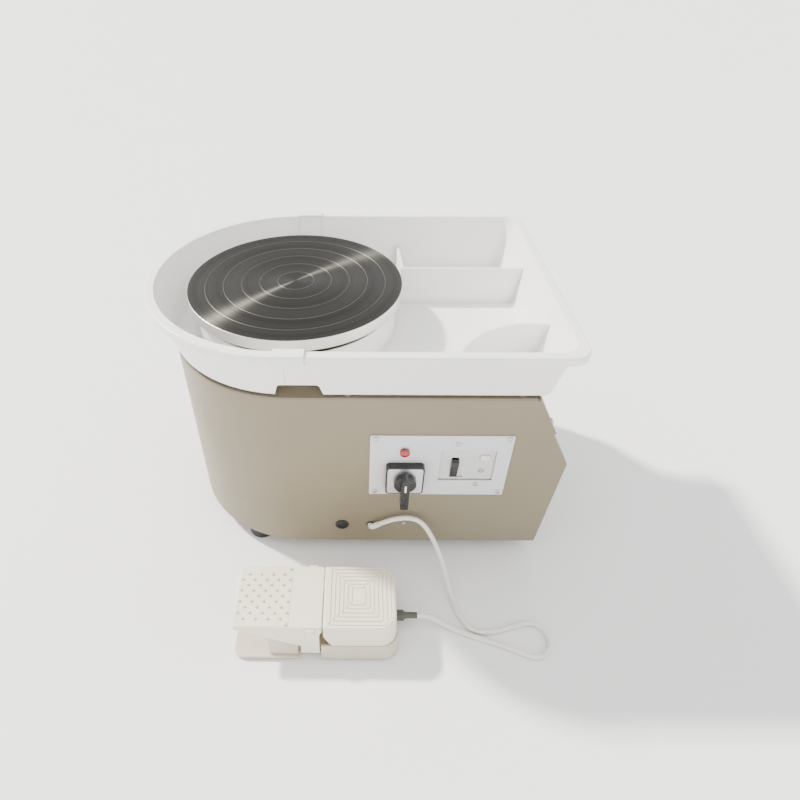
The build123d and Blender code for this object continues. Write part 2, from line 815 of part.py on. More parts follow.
knob_base = switch_face.offset(gap)
with BuildPart() as switch_knob:
    with BuildSketch(knob_base):
        with Locations(at(switch_spot)):
            Circle(knob_radius)
    extrude(amount=knob_height)
    fillet(switch_knob.edges().group_by(Axis.Y)[0], 1.2)
    with BuildSketch(knob_base.offset(1.5)):
        with BuildLine():
            centre_x, centre_z = at(switch_spot)
            Polyline(
                (centre_x, centre_z + knob_radius + 3.5),
                (centre_x + lever_width / 2, centre_z + knob_radius - 1.5),
                (centre_x + lever_width / 2, centre_z - lever_reach),
                (centre_x - lever_width / 2, centre_z - lever_reach),
                (centre_x - lever_width / 2, centre_z + knob_radius - 1.5),
                close=True,
            )
        make_face()
    lever = extrude(amount=knob_height + lever_height - 1.5)
    fillet(lever.edges().filter_by(Axis.Y).group_by(Axis.Z)[0], 2.4)
    with BuildSketch(knob_base):
        with Locations(at(switch_spot)):
            Circle(3)
    extrude(amount=-switch_depth - 12)
    with BuildSketch(knob_base.offset(knob_height + lever_height)):
        with Locations((centre_x, centre_z + 2)):
            Rectangle(2.4, 12)
    extrude(amount=-0.6, mode=Mode.SUBTRACT)
finish(switch_knob, "switch_knob")

with BuildPart() as switch_marker:
    with BuildSketch(knob_base.offset(knob_height + lever_height)):
        with Locations((centre_x, centre_z + 2)):
            Rectangle(2.4, 12)
    extrude(amount=-0.6)
finish(switch_marker, "switch_marker")

# the circuit breaker: a face plate recessed behind the panel's window, with its parts
breaker_face_plane = panel_face.offset(-breaker_recess)
toggle_size = (9.0, 36.0)
toggle_spot = (breaker_spot[0] - 15.5, breaker_spot[1] - 5.5)
button_size = (12.0, 8.0)
button_spot = (breaker_spot[0] + 21.5, breaker_spot[1] + 13.4)
setting_spot = (breaker_spot[0] + 19.5, breaker_spot[1] - 11.0)
with BuildPart() as breaker_face:
    with BuildSketch(breaker_face_plane):
        with Locations(at(breaker_spot)):
            Rectangle(breaker_width + 5, breaker_height + 5)
        with Locations(at(toggle_spot)):
            RectangleRounded(
                toggle_size[0] + 2 * gap, toggle_size[1] + 2 * gap, 1, mode=Mode.SUBTRACT
            )
        with Locations(at(button_spot)):
            RectangleRounded(
                button_size[0] + 2 * gap, button_size[1] + 2 * gap, 1.5, mode=Mode.SUBTRACT
            )
    extrude(amount=-3)
    # the wedge-shaped hollow beside the toggle and the round setting recess
    with BuildSketch(breaker_face_plane):
        with BuildLine():
            wedge_x = toggle_spot[0] + toggle_size[0] / 2 + gap
            wedge_z = level(toggle_spot[1] - toggle_size[1] / 2)
            Polyline(
                (wedge_x, wedge_z), (wedge_x + 8, wedge_z), (wedge_x, wedge_z + 17), close=True
            )
        make_face()
        with Locations(at(setting_spot)):
            Circle(4)
    extrude(amount=-1.6, mode=Mode.SUBTRACT)
    with BuildSketch(breaker_face_plane.offset(-1.6)):
        with Locations(at(setting_spot)):
            Circle(2.4)
            Rectangle(4, 0.8, mode=Mode.SUBTRACT)
    extrude(amount=1.4)
finish(breaker_face, "breaker_face")

breaker_depth = 52.0
with BuildPart() as breaker_body:
    with BuildSketch(breaker_face_plane.offset(-3)):
        with Locations(at(breaker_spot)):
            RectangleRounded(breaker_width - 2, breaker_height - 2, 2)
    extrude(amount=-breaker_depth)
    with BuildSketch(breaker_face_plane.offset(-3)):
        with Locations(at(toggle_spot)):
            Rectangle(toggle_size[0] + 2, toggle_size[1] + 6)
        with Locations(at(button_spot)):
            Rectangle(button_size[0] + 2, button_size[1] + 2)
    extrude(amount=-16, mode=Mode.SUBTRACT)
finish(breaker_body, "breaker_body")

toggle_pivot_y = -body_half_width - panel_thickness + breaker_recess + 9.0
toggle_half = toggle_size[1] / 2 - 2.0
with BuildPart() as breaker_toggle:
    with BuildSketch(Plane.YZ.offset(toggle_spot[0] - toggle_size[0] / 2)):
        with Locations((toggle_pivot_y, level(toggle_spot[1]))):
            Circle(6)
            Polygon(
                (-4, -5), (-10.5, -toggle_half + 1), (-11.5, toggle_half - 14), (-14, toggle_half - 10),
                (-13.5, toggle_half - 3), (-10, toggle_half), (-4, 6), align=None,
            )
    extrude(amount=toggle_size[0])
    with BuildSketch(Plane.YZ.offset(toggle_spot[0] - toggle_size[0] / 2 - 0.9)):
        with Locations((toggle_pivot_y, level(toggle_spot[1]))):
            Circle(2)
    extrude(amount=toggle_size[0] + 1.8)
finish(breaker_toggle, "breaker_toggle")

with BuildPart() as breaker_test_button:
    with BuildSketch(breaker_face_plane.offset(2)):
        with Locations(at(button_spot)):
            RectangleRounded(*button_size, 1.5)
    extrude(amount=-9)
    fillet(breaker_test_button.edges().group_by(Axis.Y)[0], 0.6)
finish(breaker_test_button, "breaker_test_button")

breaker_screws = pan_screws(panel_face, breaker_screw_spots, 3.2, 7)
finish(breaker_screws, "breaker_screws")

# ---------------------------------------------------------------- small pieces of the cabinet
with BuildPart() as blanking_plug:
    with BuildSketch(front):
        with Locations(at(plug_spot)):
            Circle(plug_radius)
    extrude(amount=1.6)
    fillet(blanking_plug.edges().group_by(Axis.Y)[0], 1.0)
    with BuildSketch(front.offset(1.6)):
        with Locations(at(plug_spot)):
            Circle(plug_radius - 3.2)
    extrude(amount=-1.2, mode=Mode.SUBTRACT)
    with BuildSketch(front):
        with Locations(at(plug_spot)):
            Circle(plug_radius - 2)
    extrude(amount=-5)
finish(blanking_plug, "blanking_plug")

front_screw = pan_screws(front, [at(front_screw_spot)], 2.6, 6)
finish(front_screw, "front_screw")


def on_floor(points):
    """Turn points whose last value is a height above the floor into the model's frame."""
    return [Vector(x, y, level(height)) for x, y, height in points]


with BuildPart() as cord_gland:
    with BuildSketch(front):
        with Locations(at(cord_hole)):
            Circle(gland_radius + 0.9)
    extrude(amount=0.9)
    fillet(cord_gland.edges().group_by(Axis.Y)[0], 0.5)
    with BuildSketch(front):
        with Locations(at(cord_hole)):
            Circle(gland_radius)
    extrude(amount=-sheet)
    with BuildSketch(front.offset(-sheet)):
        with Locations(at(cord_hole)):
            Circle(gland_radius + 2)
    extrude(amount=-1.5)
    with BuildSketch(front.offset(1)):
        with Locations(at(cord_hole)):
            Circle(sleeve_radius)
    extrude(amount=-6, mode=Mode.SUBTRACT)
finish(cord_gland, "cord_gland")

sleeve_route = [
    (cord_hole[0], -body_half_width + sheet + 1.5, cord_hole[1]), cord_elbow, cord_route[0]
]
with BuildPart() as cord_sleeve:
    with BuildLine():
        elbow = FilletPolyline(*on_floor(sleeve_route), radius=5.6)
    with BuildSketch(Plane(origin=elbow @ 0, z_dir=elbow % 0)):
        Circle(sleeve_radius)
    sweep(path=elbow)
finish(cord_sleeve, "cord_sleeve")

with BuildPart() as mains_inlet:
    with BuildSketch(back):
        with Locations(at(inlet_spot)):
            RectangleRounded(50, 24, 4)
    extrude(amount=-2.5)
    with BuildSketch(back):
        with Locations(at(inlet_spot)):
            Rectangle(inlet_size[0] - 0.4, inlet_size[1] - 0.4)
    extrude(amount=26)
    with BuildSketch(Plane.XZ.offset(-body_half_width - 2.5)):
        with Locations(at(inlet_spot)):
            Rectangle(24, 16.5)
    extrude(amount=17, mode=Mode.SUBTRACT)
    with BuildSketch(Plane.XZ.offset(-body_half_width + 14.5)):
        with Locations(at(inlet_spot)):
            with Locations((-7, -2), (7, -2), (0, 2)):
                Rectangle(2, 4)
    extrude(amount=-13)
finish(mains_inlet, "mains_inlet")

# ---------------------------------------------------------------- splash tray
slope_run = tan(radians(tray_slope))


def tray_outline(inset):
    """Tray plan: half round about the spindle and a square end with rounded corners."""
    Circle(tray_half_width - inset)
    Rectangle(tray_end_x - inset, 2 * (tray_half_width - inset), align=(Align.MIN, Align.CENTER))


def tray_sketch(inset, corner):
    """The tray's plan as a sketch with its two square corners rounded."""
    with BuildSketch() as plan:
        tray_outline(inset)
        fillet(plan.vertices().group_by(Axis.X)[-1], corner)
    return plan.sketch


def tray_mould(skin, rise=0.0):
    """The tray's tapered body set in by skin, with the ridge across the seam taken out of it."""
    depth = tray_height - skin + rise
    inset = tray_rim_width + skin - rise * slope_run
    corner = tray_body_corner - skin + rise * slope_run
    with BuildPart() as mould:
        add(tray_sketch(inset, corner).moved(Location((0, 0, level(tray_top + rise)))))
        extrude(amount=-depth, taper=tray_slope)
        fillet(mould.faces().sort_by(Axis.Z)[0].edges(), max(tray_foot_round - skin, 2.0))
        with BuildSketch(Plane.XZ):
            with BuildLine():
                foot_z = level(tray_bottom) - 1
                crest_z = level(tray_bottom + ridge_height) + skin
                Polyline(
                    (ridge_left_x - ridge_flare - skin, foot_z),
                    (ridge_left_x - skin, crest_z),
                    (ridge_right_x + skin, crest_z),
                    (ridge_right_x + ridge_flare + skin, foot_z),
                    close=True,
                )
            ridge = make_face()
            fillet(ridge.vertices().group_by(Axis.Y)[-1], 5 + skin)
        extrude(amount=tray_half_width, both=True, mode=Mode.SUBTRACT)
    return mould.part


tray_outside = tray_mould(0)
tray_cavity = tray_mould(tray_wall, rise=6.0)
tray_mid_wall = tray_mould(tray_wall / 2)

with BuildPart() as tray_pockets:
    # the tool pocket's front wall leans back; its side wall falls towards the tray's back wall
    with BuildSketch(Plane.YZ.offset(pocket_x)):
        with BuildLine():
            Polyline(
                (pocket_foot_y, level(tray_bottom)),
                (pocket_top_y, level(tray_bottom + pocket_height)),
                (pocket_top_y + pocket_wall, level(tray_bottom + pocket_height)),
                (pocket_foot_y + pocket_wall, level(tray_bottom)),
                close=True,
            )
        make_face()
    extrude(amount=tray_end_x - pocket_x)
    with BuildSketch(Plane.YZ.offset(pocket_x)):
        with BuildLine():
            Polyline(
                (pocket_foot_y + 1, level(tray_bottom)),
                (pocket_top_y + 1, level(tray_bottom + pocket_height)),
                (tray_half_width, level(tray_bottom + pocket_back_height)),
                (tray_half_width, level(tray_bottom)),
                close=True,
            )
        make_face()
    extrude(amount=pocket_wall)
    fillet(tray_pockets.edges().filter_by(Axis.X).group_by(Axis.Z)[-1], 1.5)
    with BuildSketch(Plane.XY.offset(level(tray_bottom))):
        with Locations(corner_pocket_centre):
            Circle(corner_pocket_radius)
            Circle(corner_pocket_radius - pocket_wall, mode=Mode.SUBTRACT)
    extrude(amount=pocket_height)
    add(tray_mid_wall, mode=Mode.INTERSECT)

with BuildPart() as tray_whole:
    add(tray_outside)
    add(tray_sketch(0, tray_corner).moved(Location((0, 0, level(tray_top)))))
    extrude(amount=-tray_lip_depth)
    lip_inside = tray_sketch(tray_wall, tray_corner - tray_wall)
    add(lip_inside.moved(Location((0, 0, level(tray_top - tray_lip_depth)))))
    extrude(amount=tray_lip_depth - tray_wall, mode=Mode.SUBTRACT)
    fillet(tray_whole.faces().sort_by(Axis.Z)[-1].edges(), 2.4)
    add(tray_outside)
    add(tray_cavity, mode=Mode.SUBTRACT)
    add(tray_pockets.part)
    with BuildSketch(Plane.XY.offset(level(tray_bottom))):
        Circle(collar_radius)
    extrude(amount=collar_height, taper=5)
    with BuildSketch(Plane.XY.offset(level(tray_bottom))):
        Circle(collar_radius - collar_wall)
    extrude(amount=collar_height, mode=Mode.SUBTRACT)

# the left half laps over the right one: a strap over the rim and a lining down the wall and ridge
lining_inside = tray_mould(tray_wall + gap + strap_wall, rise=6.0)
lining_outside = tray_mould(tray_wall + gap)
lining_root = tray_mould(tray_wall - 0.5)


def rim_profile(side, points):
    """Points given outward and upward from the rim's top edge, on the front or back side."""
    return [(side * (tray_half_width + out), level(tray_top) + up) for out, up in points]


with BuildPart() as tray_strap:
    for side in (-1, 1):
        with BuildSketch(Plane.YZ.offset(strap_left_x)):
            with BuildLine():
                Polyline(*rim_profile(side, [
                    (gap + strap_wall, gap + strap_wall),
                    (gap + strap_wall, -tray_lip_depth - 1),
                    (gap, -tray_lip_depth - 1),
                    (gap, gap),
                    (-tray_rim_width - tray_wall - gap - strap_wall, gap),
                    (-tray_rim_width - tray_wall - gap - strap_wall, gap + strap_wall),
                ]), close=True)
            make_face()
        extrude(amount=strap_right_x - strap_left_x)
    fillet(tray_strap.edges().filter_by(Axis.X).group_by(Axis.Z)[-1], 2.0)

with BuildPart() as tray_lining:
    add(lining_outside)
    add(lining_inside, mode=Mode.SUBTRACT)
    with Locations((strap_left_x, 0, level(tray_bottom))):
        Box(
            strap_right_x - 1.5 - strap_left_x, 2 * tray_half_width, tray_height * 1.2,
            align=(Align.MIN, Align.CENTER, Align.MIN), mode=Mode.INTERSECT,
        )
    with Locations((0, 0, level(tray_bottom))):
        Cylinder(
            collar_radius + 2 * gap, tray_height,
            align=(Align.CENTER, Align.CENTER, Align.MIN), mode=Mode.SUBTRACT,
        )

with BuildPart() as tray_joint:
    # fills the small gap between the lap and the left half, left of the seam
    add(lining_root)
    add(lining_inside, mode=Mode.SUBTRACT)
    with Locations((strap_left_x, 0, level(tray_bottom))):
        Box(
            seam_x - gap - strap_left_x, 2 * tray_half_width, tray_height * 1.2,
            align=(Align.MIN, Align.CENTER, Align.MIN), mode=Mode.INTERSECT,
        )
    with Locations((0, 0, level(tray_bottom))):
        Cylinder(
            collar_radius + 2 * gap, tray_height,
            align=(Align.CENTER, Align.CENTER, Align.MIN), mode=Mode.SUBTRACT,
        )
    for side in (-1, 1):
        with BuildSketch(Plane.YZ.offset(strap_left_x)):
            with BuildLine():
                Polyline(*rim_profile(side, [
                    (gap + 0.5, gap + 0.5),
                    (gap + 0.5, -tray_lip_depth),
                    (-0.8, -tray_lip_depth),
                    (-0.8, -0.8),
                    (-tray_rim_width, -0.8),
                    (-tray_rim_width, gap + 0.5),
                ]), close=True)
            make_face()
        extrude(amount=seam_x - gap - strap_left_x)

with BuildPart() as tray_left:
    add(tray_whole.part)
    split(bisect_by=Plane.YZ.offset(seam_x - gap), keep=Keep.BOTTOM)
    add(tray_joint.part)
    add(tray_lining.part)
    add(tray_strap.part)
finish(tray_left, "tray_left")

bead_x = 10.0
with BuildPart() as tray_right:
    add(tray_whole.part)
    split(bisect_by=Plane.YZ.offset(seam_x), keep=Keep.TOP)
finish(tray_right, "tray_right")

# ---------------------------------------------------------------- foot pedal
pedal_mid_y = pedal_front_y + pedal_width / 2
pedal_right_x = pedal_left_x + pedal_length
treadle_end_x = pedal_split_x - 0.4
cover_start_x = pedal_split_x + 0.4
treadle_top = 3.0
treadle_wall = 2.0
base_corners = (12.0, 16.8)
treadle_corners = (5.0, 4.0)
cover_corners = (2.5, 21.0)


def pedal_form(low, high, inset, corners, start=None, stop=None):
    """The pedal's outer form between two heights, its walls leaning in, whole or from X to X."""
    with BuildPart() as form:
        for height in (low, high):
            lean = (height - pedal_pad_height) / (pedal_height - pedal_pad_height)
            left = pedal_left_x + lean * pedal_end_lean if start is None else start
            right = pedal_right_x - lean * pedal_end_lean if stop is None else stop
            breadth = pedal_width - 2 * lean * pedal_side_lean
            with BuildSketch(Plane.XY.offset(level(height))) as plan:
                with Locations(((left + right) / 2, pedal_mid_y)):
                    Rectangle(right - left - 2 * inset, breadth - 2 * inset)
                fillet(plan.vertices().group_by(Axis.X)[0], max(corners[0] - inset, 0.4))
                fillet(plan.vertices().group_by(Axis.X)[-1], max(corners[1] - inset, 0.4))
        loft(ruled=True)
    return form


def side_cut(points):
    """A prism across the whole pedal from points given as X and a height."""
    with BuildPart() as prism:
        with BuildSketch(Plane.XZ.offset(-pedal_front_y + 5)):
            Polygon(*[(x, level(height)) for x, height in points], align=None)
        extrude(amount=-pedal_width - 10)
    return prism


pedal_pad_spots = [
    (pedal_left_x + 16, pedal_mid_y + 37), (pedal_left_x + 16, pedal_mid_y - 37),
    (pedal_right_x - 24, pedal_mid_y + 34), (pedal_right_x - 24, pedal_mid_y - 34),
]
pedal_screw_spots = [
    (pedal_split_x + 9.5, pedal_mid_y + 33), (pedal_split_x + 9.5, pedal_mid_y - 33),
    (pedal_right_x - 14, pedal_mid_y + 20), (pedal_right_x - 14, pedal_mid_y - 20),
]
spring_spot = (pedal_left_x + 30, pedal_mid_y + 16)
cord_exit_y = cord_route[-1][1]
cord_exit_height = cord_route[-1][2]

# the treadle's skirt rises from the ear that hangs in the base's slot to its left end
ear_left_x = 13.6
ear_right_x = 36.2
ear_foot = 14.0
skirt_end_height = 27.3
skirt_slope = 0.356
slot_left_x = 9.0
slot_right_x = 38.0
guard_left_x = -27.0
lug_inside = 45.0  # from the pedal's middle to the outside of a lug


def skirt(x):
    """Height of the lower edge of the treadle's skirt."""
    return skirt_end_height + skirt_slope * (ear_left_x - 1.3 - x)


guard_inset = treadle_wall + 1.2
with BuildPart() as pedal_base:
    add(pedal_form(pedal_pad_height, pedal_floor_height, 0, base_corners).part)
    # the right-hand walls, just proud of the cover
    add(
        pedal_form(
            pedal_floor_height, pedal_base_top, -0.8, (0.6, base_corners[1]), start=slot_right_x + 0.8
        ).part
    )
    add(
        pedal_form(
            pedal_floor_height, pedal_base_top + 1, pedal_wall - 0.8, (1, base_corners[1]),
            start=slot_right_x - 10,
        ).part,
        mode=Mode.SUBTRACT,
    )
    # two guard walls stand inside the treadle's skirt
    add(
        pedal_form(
            pedal_floor_height, 48, guard_inset, (0.6, 0.6),
            start=guard_left_x - guard_inset, stop=slot_left_x + guard_inset,
        ).part
    )
    add(
        pedal_form(
            pedal_floor_height, 49, guard_inset + pedal_wall, (0.6, 0.6),
            start=guard_left_x - 20, stop=slot_left_x + 20,
        ).part,
        mode=Mode.SUBTRACT,
    )
    add(
        side_cut([
            (guard_left_x - 5, skirt(guard_left_x - 5) + 3), (guard_left_x - 5, 60),
            (slot_left_x + 10, 60), (slot_left_x + 10, skirt(slot_left_x + 10) + 3),
        ]).part,
        mode=Mode.SUBTRACT,
    )
    # slots for the treadle's ears, in both long sides
    with BuildSketch(Plane.XY.offset(level(0))):
        for side in (-1, 1):
            with Locations(((slot_left_x + slot_right_x) / 2, pedal_mid_y + side * (44 + 10))):
                Rectangle(slot_right_x - slot_left_x, 20)
    extrude(amount=pedal_base_top, mode=Mode.SUBTRACT)
    # pillars that hold the hinge pin, inside the treadle's lugs
    for side in (-1, 1):
        with BuildSketch(Plane.XY.offset(level(pedal_floor_height))):
            with Locations((pedal_pin_x, pedal_mid_y + side * (lug_inside - 7.5))):
                Rectangle(11, 6)
        extrude(amount=pedal_pin_height + 5.5 - pedal_floor_height)
    with BuildSketch(Plane.XZ.offset(-pedal_front_y)):
        with Locations((pedal_pin_x, level(pedal_pin_height))):
            Circle(pedal_pin_radius + 0.02)
    extrude(amount=-pedal_width, mode=Mode.SUBTRACT)
    # the seat of the return spring, the cable's hole and the screw holes
    with BuildSketch(Plane.XY.offset(level(pedal_floor_height))):
        with Locations(spring_spot):
            Circle(11)
            Circle(8.5, mode=Mode.SUBTRACT)
    extrude(amount=4)
    with BuildSketch(Plane.YZ.offset(pedal_right_x - 2 * pedal_wall)):
        with Locations((cord_exit_y, level(cord_exit_height))):
            Circle(6)
    extrude(amount=4 * pedal_wall, mode=Mode.SUBTRACT)
    with BuildSketch(Plane.XY.offset(level(pedal_pad_height))):
        with Locations(*pedal_screw_spots):
            Circle(2)
    extrude(amount=pedal_floor_height, mode=Mode.SUBTRACT)
finish(pedal_base, "pedal_base")

rib_pitch = 5.3
rib_count = 8
rib_width = 2.6
rib_height = 0.9
rib_centre = (83.2, pedal_mid_y + 1.2)
rib_inner = (17.0, 23.0)
with BuildPart() as pedal_cover:
    add(pedal_form(pedal_base_top, pedal_height, 0, cover_corners, start=cover_start_x).part)
    fillet(pedal_cover.faces().sort_by(Axis.Z)[-1].edges(), 1.5)
    add(
        pedal_form(
            pedal_base_top, pedal_height - 3, pedal_wall, cover_corners, start=cover_start_x
        ).part,
        mode=Mode.SUBTRACT,
    )
    # a slanting notch at the foot of the left-hand corners
    add(
        side_cut([
            (cover_start_x - 1, 44), (cover_start_x + 0.4, 44), (46, 36), (52, pedal_base_top),
            (52, pedal_base_top - 1), (cover_start_x - 1, pedal_base_top - 1),
        ]).part,
        mode=Mode.SUBTRACT,
    )
    # screw posts down to the base
    with BuildSketch(Plane.XY.offset(level(pedal_height - 2))):
        with Locations(*pedal_screw_spots):
            Circle(4)
    extrude(amount=-(pedal_height - 2 - pedal_floor_height))
    with BuildSketch(Plane.XY.offset(level(pedal_floor_height))):
        with Locations(*pedal_screw_spots):
            Circle(1.5)
    extrude(amount=16, mode=Mode.SUBTRACT)
    # oblong ribs one inside the other, mitred at their corners and cut off by the cover's edge
    with BuildSketch(Plane.XY.offset(level(pedal_height))) as ribs:
        with Locations(rib_centre):
            for ring in reversed(range(rib_count)):
                across = rib_inner[0] + 2 * ring * rib_pitch
                deep = rib_inner[1] + 2 * ring * rib_pitch
                Rectangle(across + rib_width, deep + rib_width)
                Rectangle(across - rib_width, deep - rib_width, mode=Mode.SUBTRACT)
        for side_x in (-1, 1):
            for side_y in (-1, 1):
                with Locations((
                    rib_centre[0] + side_x * (rib_inner[0] / 2 + 28),
                    rib_centre[1] + side_y * (rib_inner[1] / 2 + 28),
                )):
                    Rectangle(84, 1.3, rotation=45 * side_x * side_y, mode=Mode.SUBTRACT)
        with Locations(((46 + pedal_right_x - 4) / 2, pedal_mid_y)):
            RectangleRounded(
                pedal_right_x - 4 - 46, pedal_width - 2 * pedal_side_lean - 4, 0.4,
                mode=Mode.INTERSECT,
            )
        with Locations((pedal_right_x - 4 - 50, pedal_mid_y)):
            RectangleRounded(
                100, pedal_width - 2 * pedal_side_lean - 4, 18, mode=Mode.INTERSECT
            )
    extrude(amount=rib_height)
finish(pedal_cover, "pedal_cover")

stud_pitch_x = 15.1
stud_pitch_y = 7.57
stud_height = 2.4
stud_pad = 0.4
with BuildPart() as pedal_treadle:
    add(
        pedal_form(ear_foot, pedal_height, 0, treadle_corners, stop=treadle_end_x).part
    )
    fillet(pedal_treadle.faces().sort_by(Axis.Z)[-1].edges(), 1.4)
    add(
        pedal_form(
            ear_foot, pedal_height - treadle_top, treadle_wall, treadle_corners,
            stop=treadle_end_x + 10,
        ).part,
        mode=Mode.SUBTRACT,
    )
    add(
        side_cut([
            (pedal_left_x - 2, skirt(pedal_left_x - 2)), (ear_left_x - 1.3, skirt_end_height),
            (ear_left_x, skirt_end_height), (ear_left_x, ear_foot - 1),
            (pedal_left_x - 2, ear_foot - 1),
        ]).part,
        mode=Mode.SUBTRACT,
    )
    add(
        side_cut([
            (ear_right_x, ear_foot - 1), (ear_right_x, 45), (ear_right_x + 1.5, 50),
            (pedal_split_x + 2, 50), (pedal_split_x + 2, ear_foot - 1),
        ]).part,
        mode=Mode.SUBTRACT,
    )
    # two lugs hang from the top plate and turn on the hinge pin
    for side in (-1, 1):
        outside = -pedal_mid_y - side * lug_inside
        with BuildSketch(Plane.XZ.offset(outside)):
            with Locations((pedal_pin_x, level(pedal_pin_height))):
                Circle(5.5)
                Rectangle(
                    11, pedal_height - pedal_pin_height - 2, align=(Align.CENTER, Align.MIN)
                )
                Circle(pedal_pin_radius + running, mode=Mode.SUBTRACT)
        extrude(amount=side * 4)
    # a slightly raised patch with studs in staggered rows, left of the plain band
    with BuildSketch(Plane.XY.offset(level(pedal_height) - 0.2)):
        with Locations((-35, pedal_mid_y)):
            RectangleRounded(67, pedal_width - 2 * pedal_side_lean - 3, 3)
    extrude(amount=stud_pad + 0.2)
    for row in range(11):
        stud_y = pedal_mid_y + (5 - row) * stud_pitch_y
        last_x = -5.2 if row % 2 == 0 else -5.2 - stud_pitch_x / 2
        columns = 1 if row in (0, 10) else (5 if row % 2 == 0 else 4)
        for column in range(columns):
            with Locations((last_x - column * stud_pitch_x, stud_y, level(pedal_height))):
                Cone(2.1, 1.3, stud_height + stud_pad, align=(Align.CENTER, Align.CENTER, Align.MIN))
finish(pedal_treadle, "pedal_treadle")

with BuildPart() as pedal_hinge_pin:
    with BuildSketch(Plane.XZ.offset(-pedal_mid_y + lug_inside - 0.2)):
        with Locations((pedal_pin_x, level(pedal_pin_height))):
            Circle(pedal_pin_radius)
    extrude(amount=-2 * lug_inside + 0.4)
finish(pedal_hinge_pin, "pedal_hinge_pin")

spring_foot = pedal_floor_height + 0.9
spring_top = pedal_height - treadle_top - 0.9
with BuildPart() as pedal_spring:
    with BuildLine():
        coil = Helix(
            pitch=(spring_top - spring_foot) / 7, height=spring_top - spring_foot, radius=6.5,
            center=(*spring_spot, level(spring_foot)),
        )
    with BuildSketch(Plane(origin=coil @ 0, z_dir=coil % 0)):
        Circle(0.8)
    sweep(path=coil, is_frenet=True)
finish(pedal_spring, "pedal_spring")

with BuildPart() as pedal_sensor_board:
    with BuildSketch(Plane.XY.offset(level(pedal_floor_height))):
        with Locations((74, pedal_mid_y)):
            Rectangle(34, 40)
            with GridLocations(28, 34, 2, 2):
                Circle(1.6, mode=Mode.SUBTRACT)
    extrude(amount=1.6)
    with BuildSketch(Plane.XY.offset(level(pedal_floor_height + 1.6))):
        with Locations((66, pedal_mid_y)):
            Rectangle(10, 14)
        with Locations((82, pedal_mid_y + 8)):
            Circle(4)
        with Locations((82, pedal_mid_y - 10)):
            Rectangle(8, 10)
    extrude(amount=6)
finish(pedal_sensor_board, "pedal_sensor_board")

with BuildPart() as pedal_pads:
    with Locations(*[(x, y, level(0)) for x, y in pedal_pad_spots]):
        Cylinder(7, pedal_pad_height, align=(Align.CENTER, Align.CENTER, Align.MIN))
    chamfer(pedal_pads.edges().group_by(Axis.Z)[0], 0.8)
finish(pedal_pads, "pedal_pads")

with BuildPart() as pedal_screws:
    with Locations(*[(x, y, level(pedal_pad_height)) for x, y in pedal_screw_spots]):
        Cylinder(3.2, 1.8, align=(Align.CENTER, Align.CENTER, Align.MAX))
        Cylinder(1.5, 16, align=(Align.CENTER, Align.CENTER, Align.MIN))
finish(pedal_screws, "pedal_screws")

# a six-sided strain relief with a sleeve over the lead
with BuildPart() as pedal_gland:
    with BuildSketch(Plane.XZ.offset(-cord_exit_y)):
        with BuildLine():
            Polyline(
                (pedal_right_x - 7, 0), (pedal_right_x - 7, 7.2), (pedal_right_x - 4, 7.2),
                (pedal_right_x - 4, 5.8), (pedal_right_x + 9, 5.8), (pedal_right_x + 12.5, 4.6),
                (pedal_right_x + 14, 4.1), (pedal_gland_end_x, 3.8), (pedal_gland_end_x, 0),
                close=True,
            )
        make_face()
    revolve(axis=Axis((0, cord_exit_y, 0), (1, 0, 0)))
    with BuildSketch(Plane.YZ.offset(pedal_right_x + 0.6)):
        with Locations((cord_exit_y, 0)):
            RegularPolygon(7.8, 6)
    extrude(amount=9.5)
    chamfer(pedal_gland.faces().filter_by(Axis.X).sort_by(SortBy.AREA)[-1].edges(), 0.5)
pedal_gland.part.position = (0, 0, level(cord_exit_height))
finish(pedal_gland, "pedal_gland")

# ---------------------------------------------------------------- the pedal's lead
route = on_floor(cord_route)
cord_radii = []
for before, here, after in zip(route, route[1:], route[2:]):
    turn = (here - before).get_angle(after - here)
    shorter = min((here - before).length, (after - here).length)
    cord_radii.append(0.45 * shorter / tan(radians(turn / 2)))
print("cord bend radii, mm:", [round(value, 1) for value in cord_radii])

with BuildPart() as pedal_cord:
    with BuildLine():
        lead = FilletPolyline(*route, radius=cord_radii)
    with BuildSketch(Plane(origin=lead @ 0, z_dir=lead % 0)):
        Circle(cord_radius)
    sweep(path=lead)
section = pi * cord_radius**2
print(
    "cord length", round(lead.length, 1),
    "volume over section times length", round(pedal_cord.part.volume / section / lead.length, 4),
)
finish(pedal_cord, "pedal_cord")
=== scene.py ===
"""Looks of an electric pottery wheel: cabinet, wheel head, splash tray, controls and foot pedal.

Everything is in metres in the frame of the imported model: +Z is the spindle, the origin is the
centre of the throwing face, +X runs to the tray's square end and -Y to the potter.
"""

from __future__ import annotations

import json
import logging
import math
from dataclasses import dataclass
from enum import Enum
from typing import Any, Callable, Iterable, Sequence

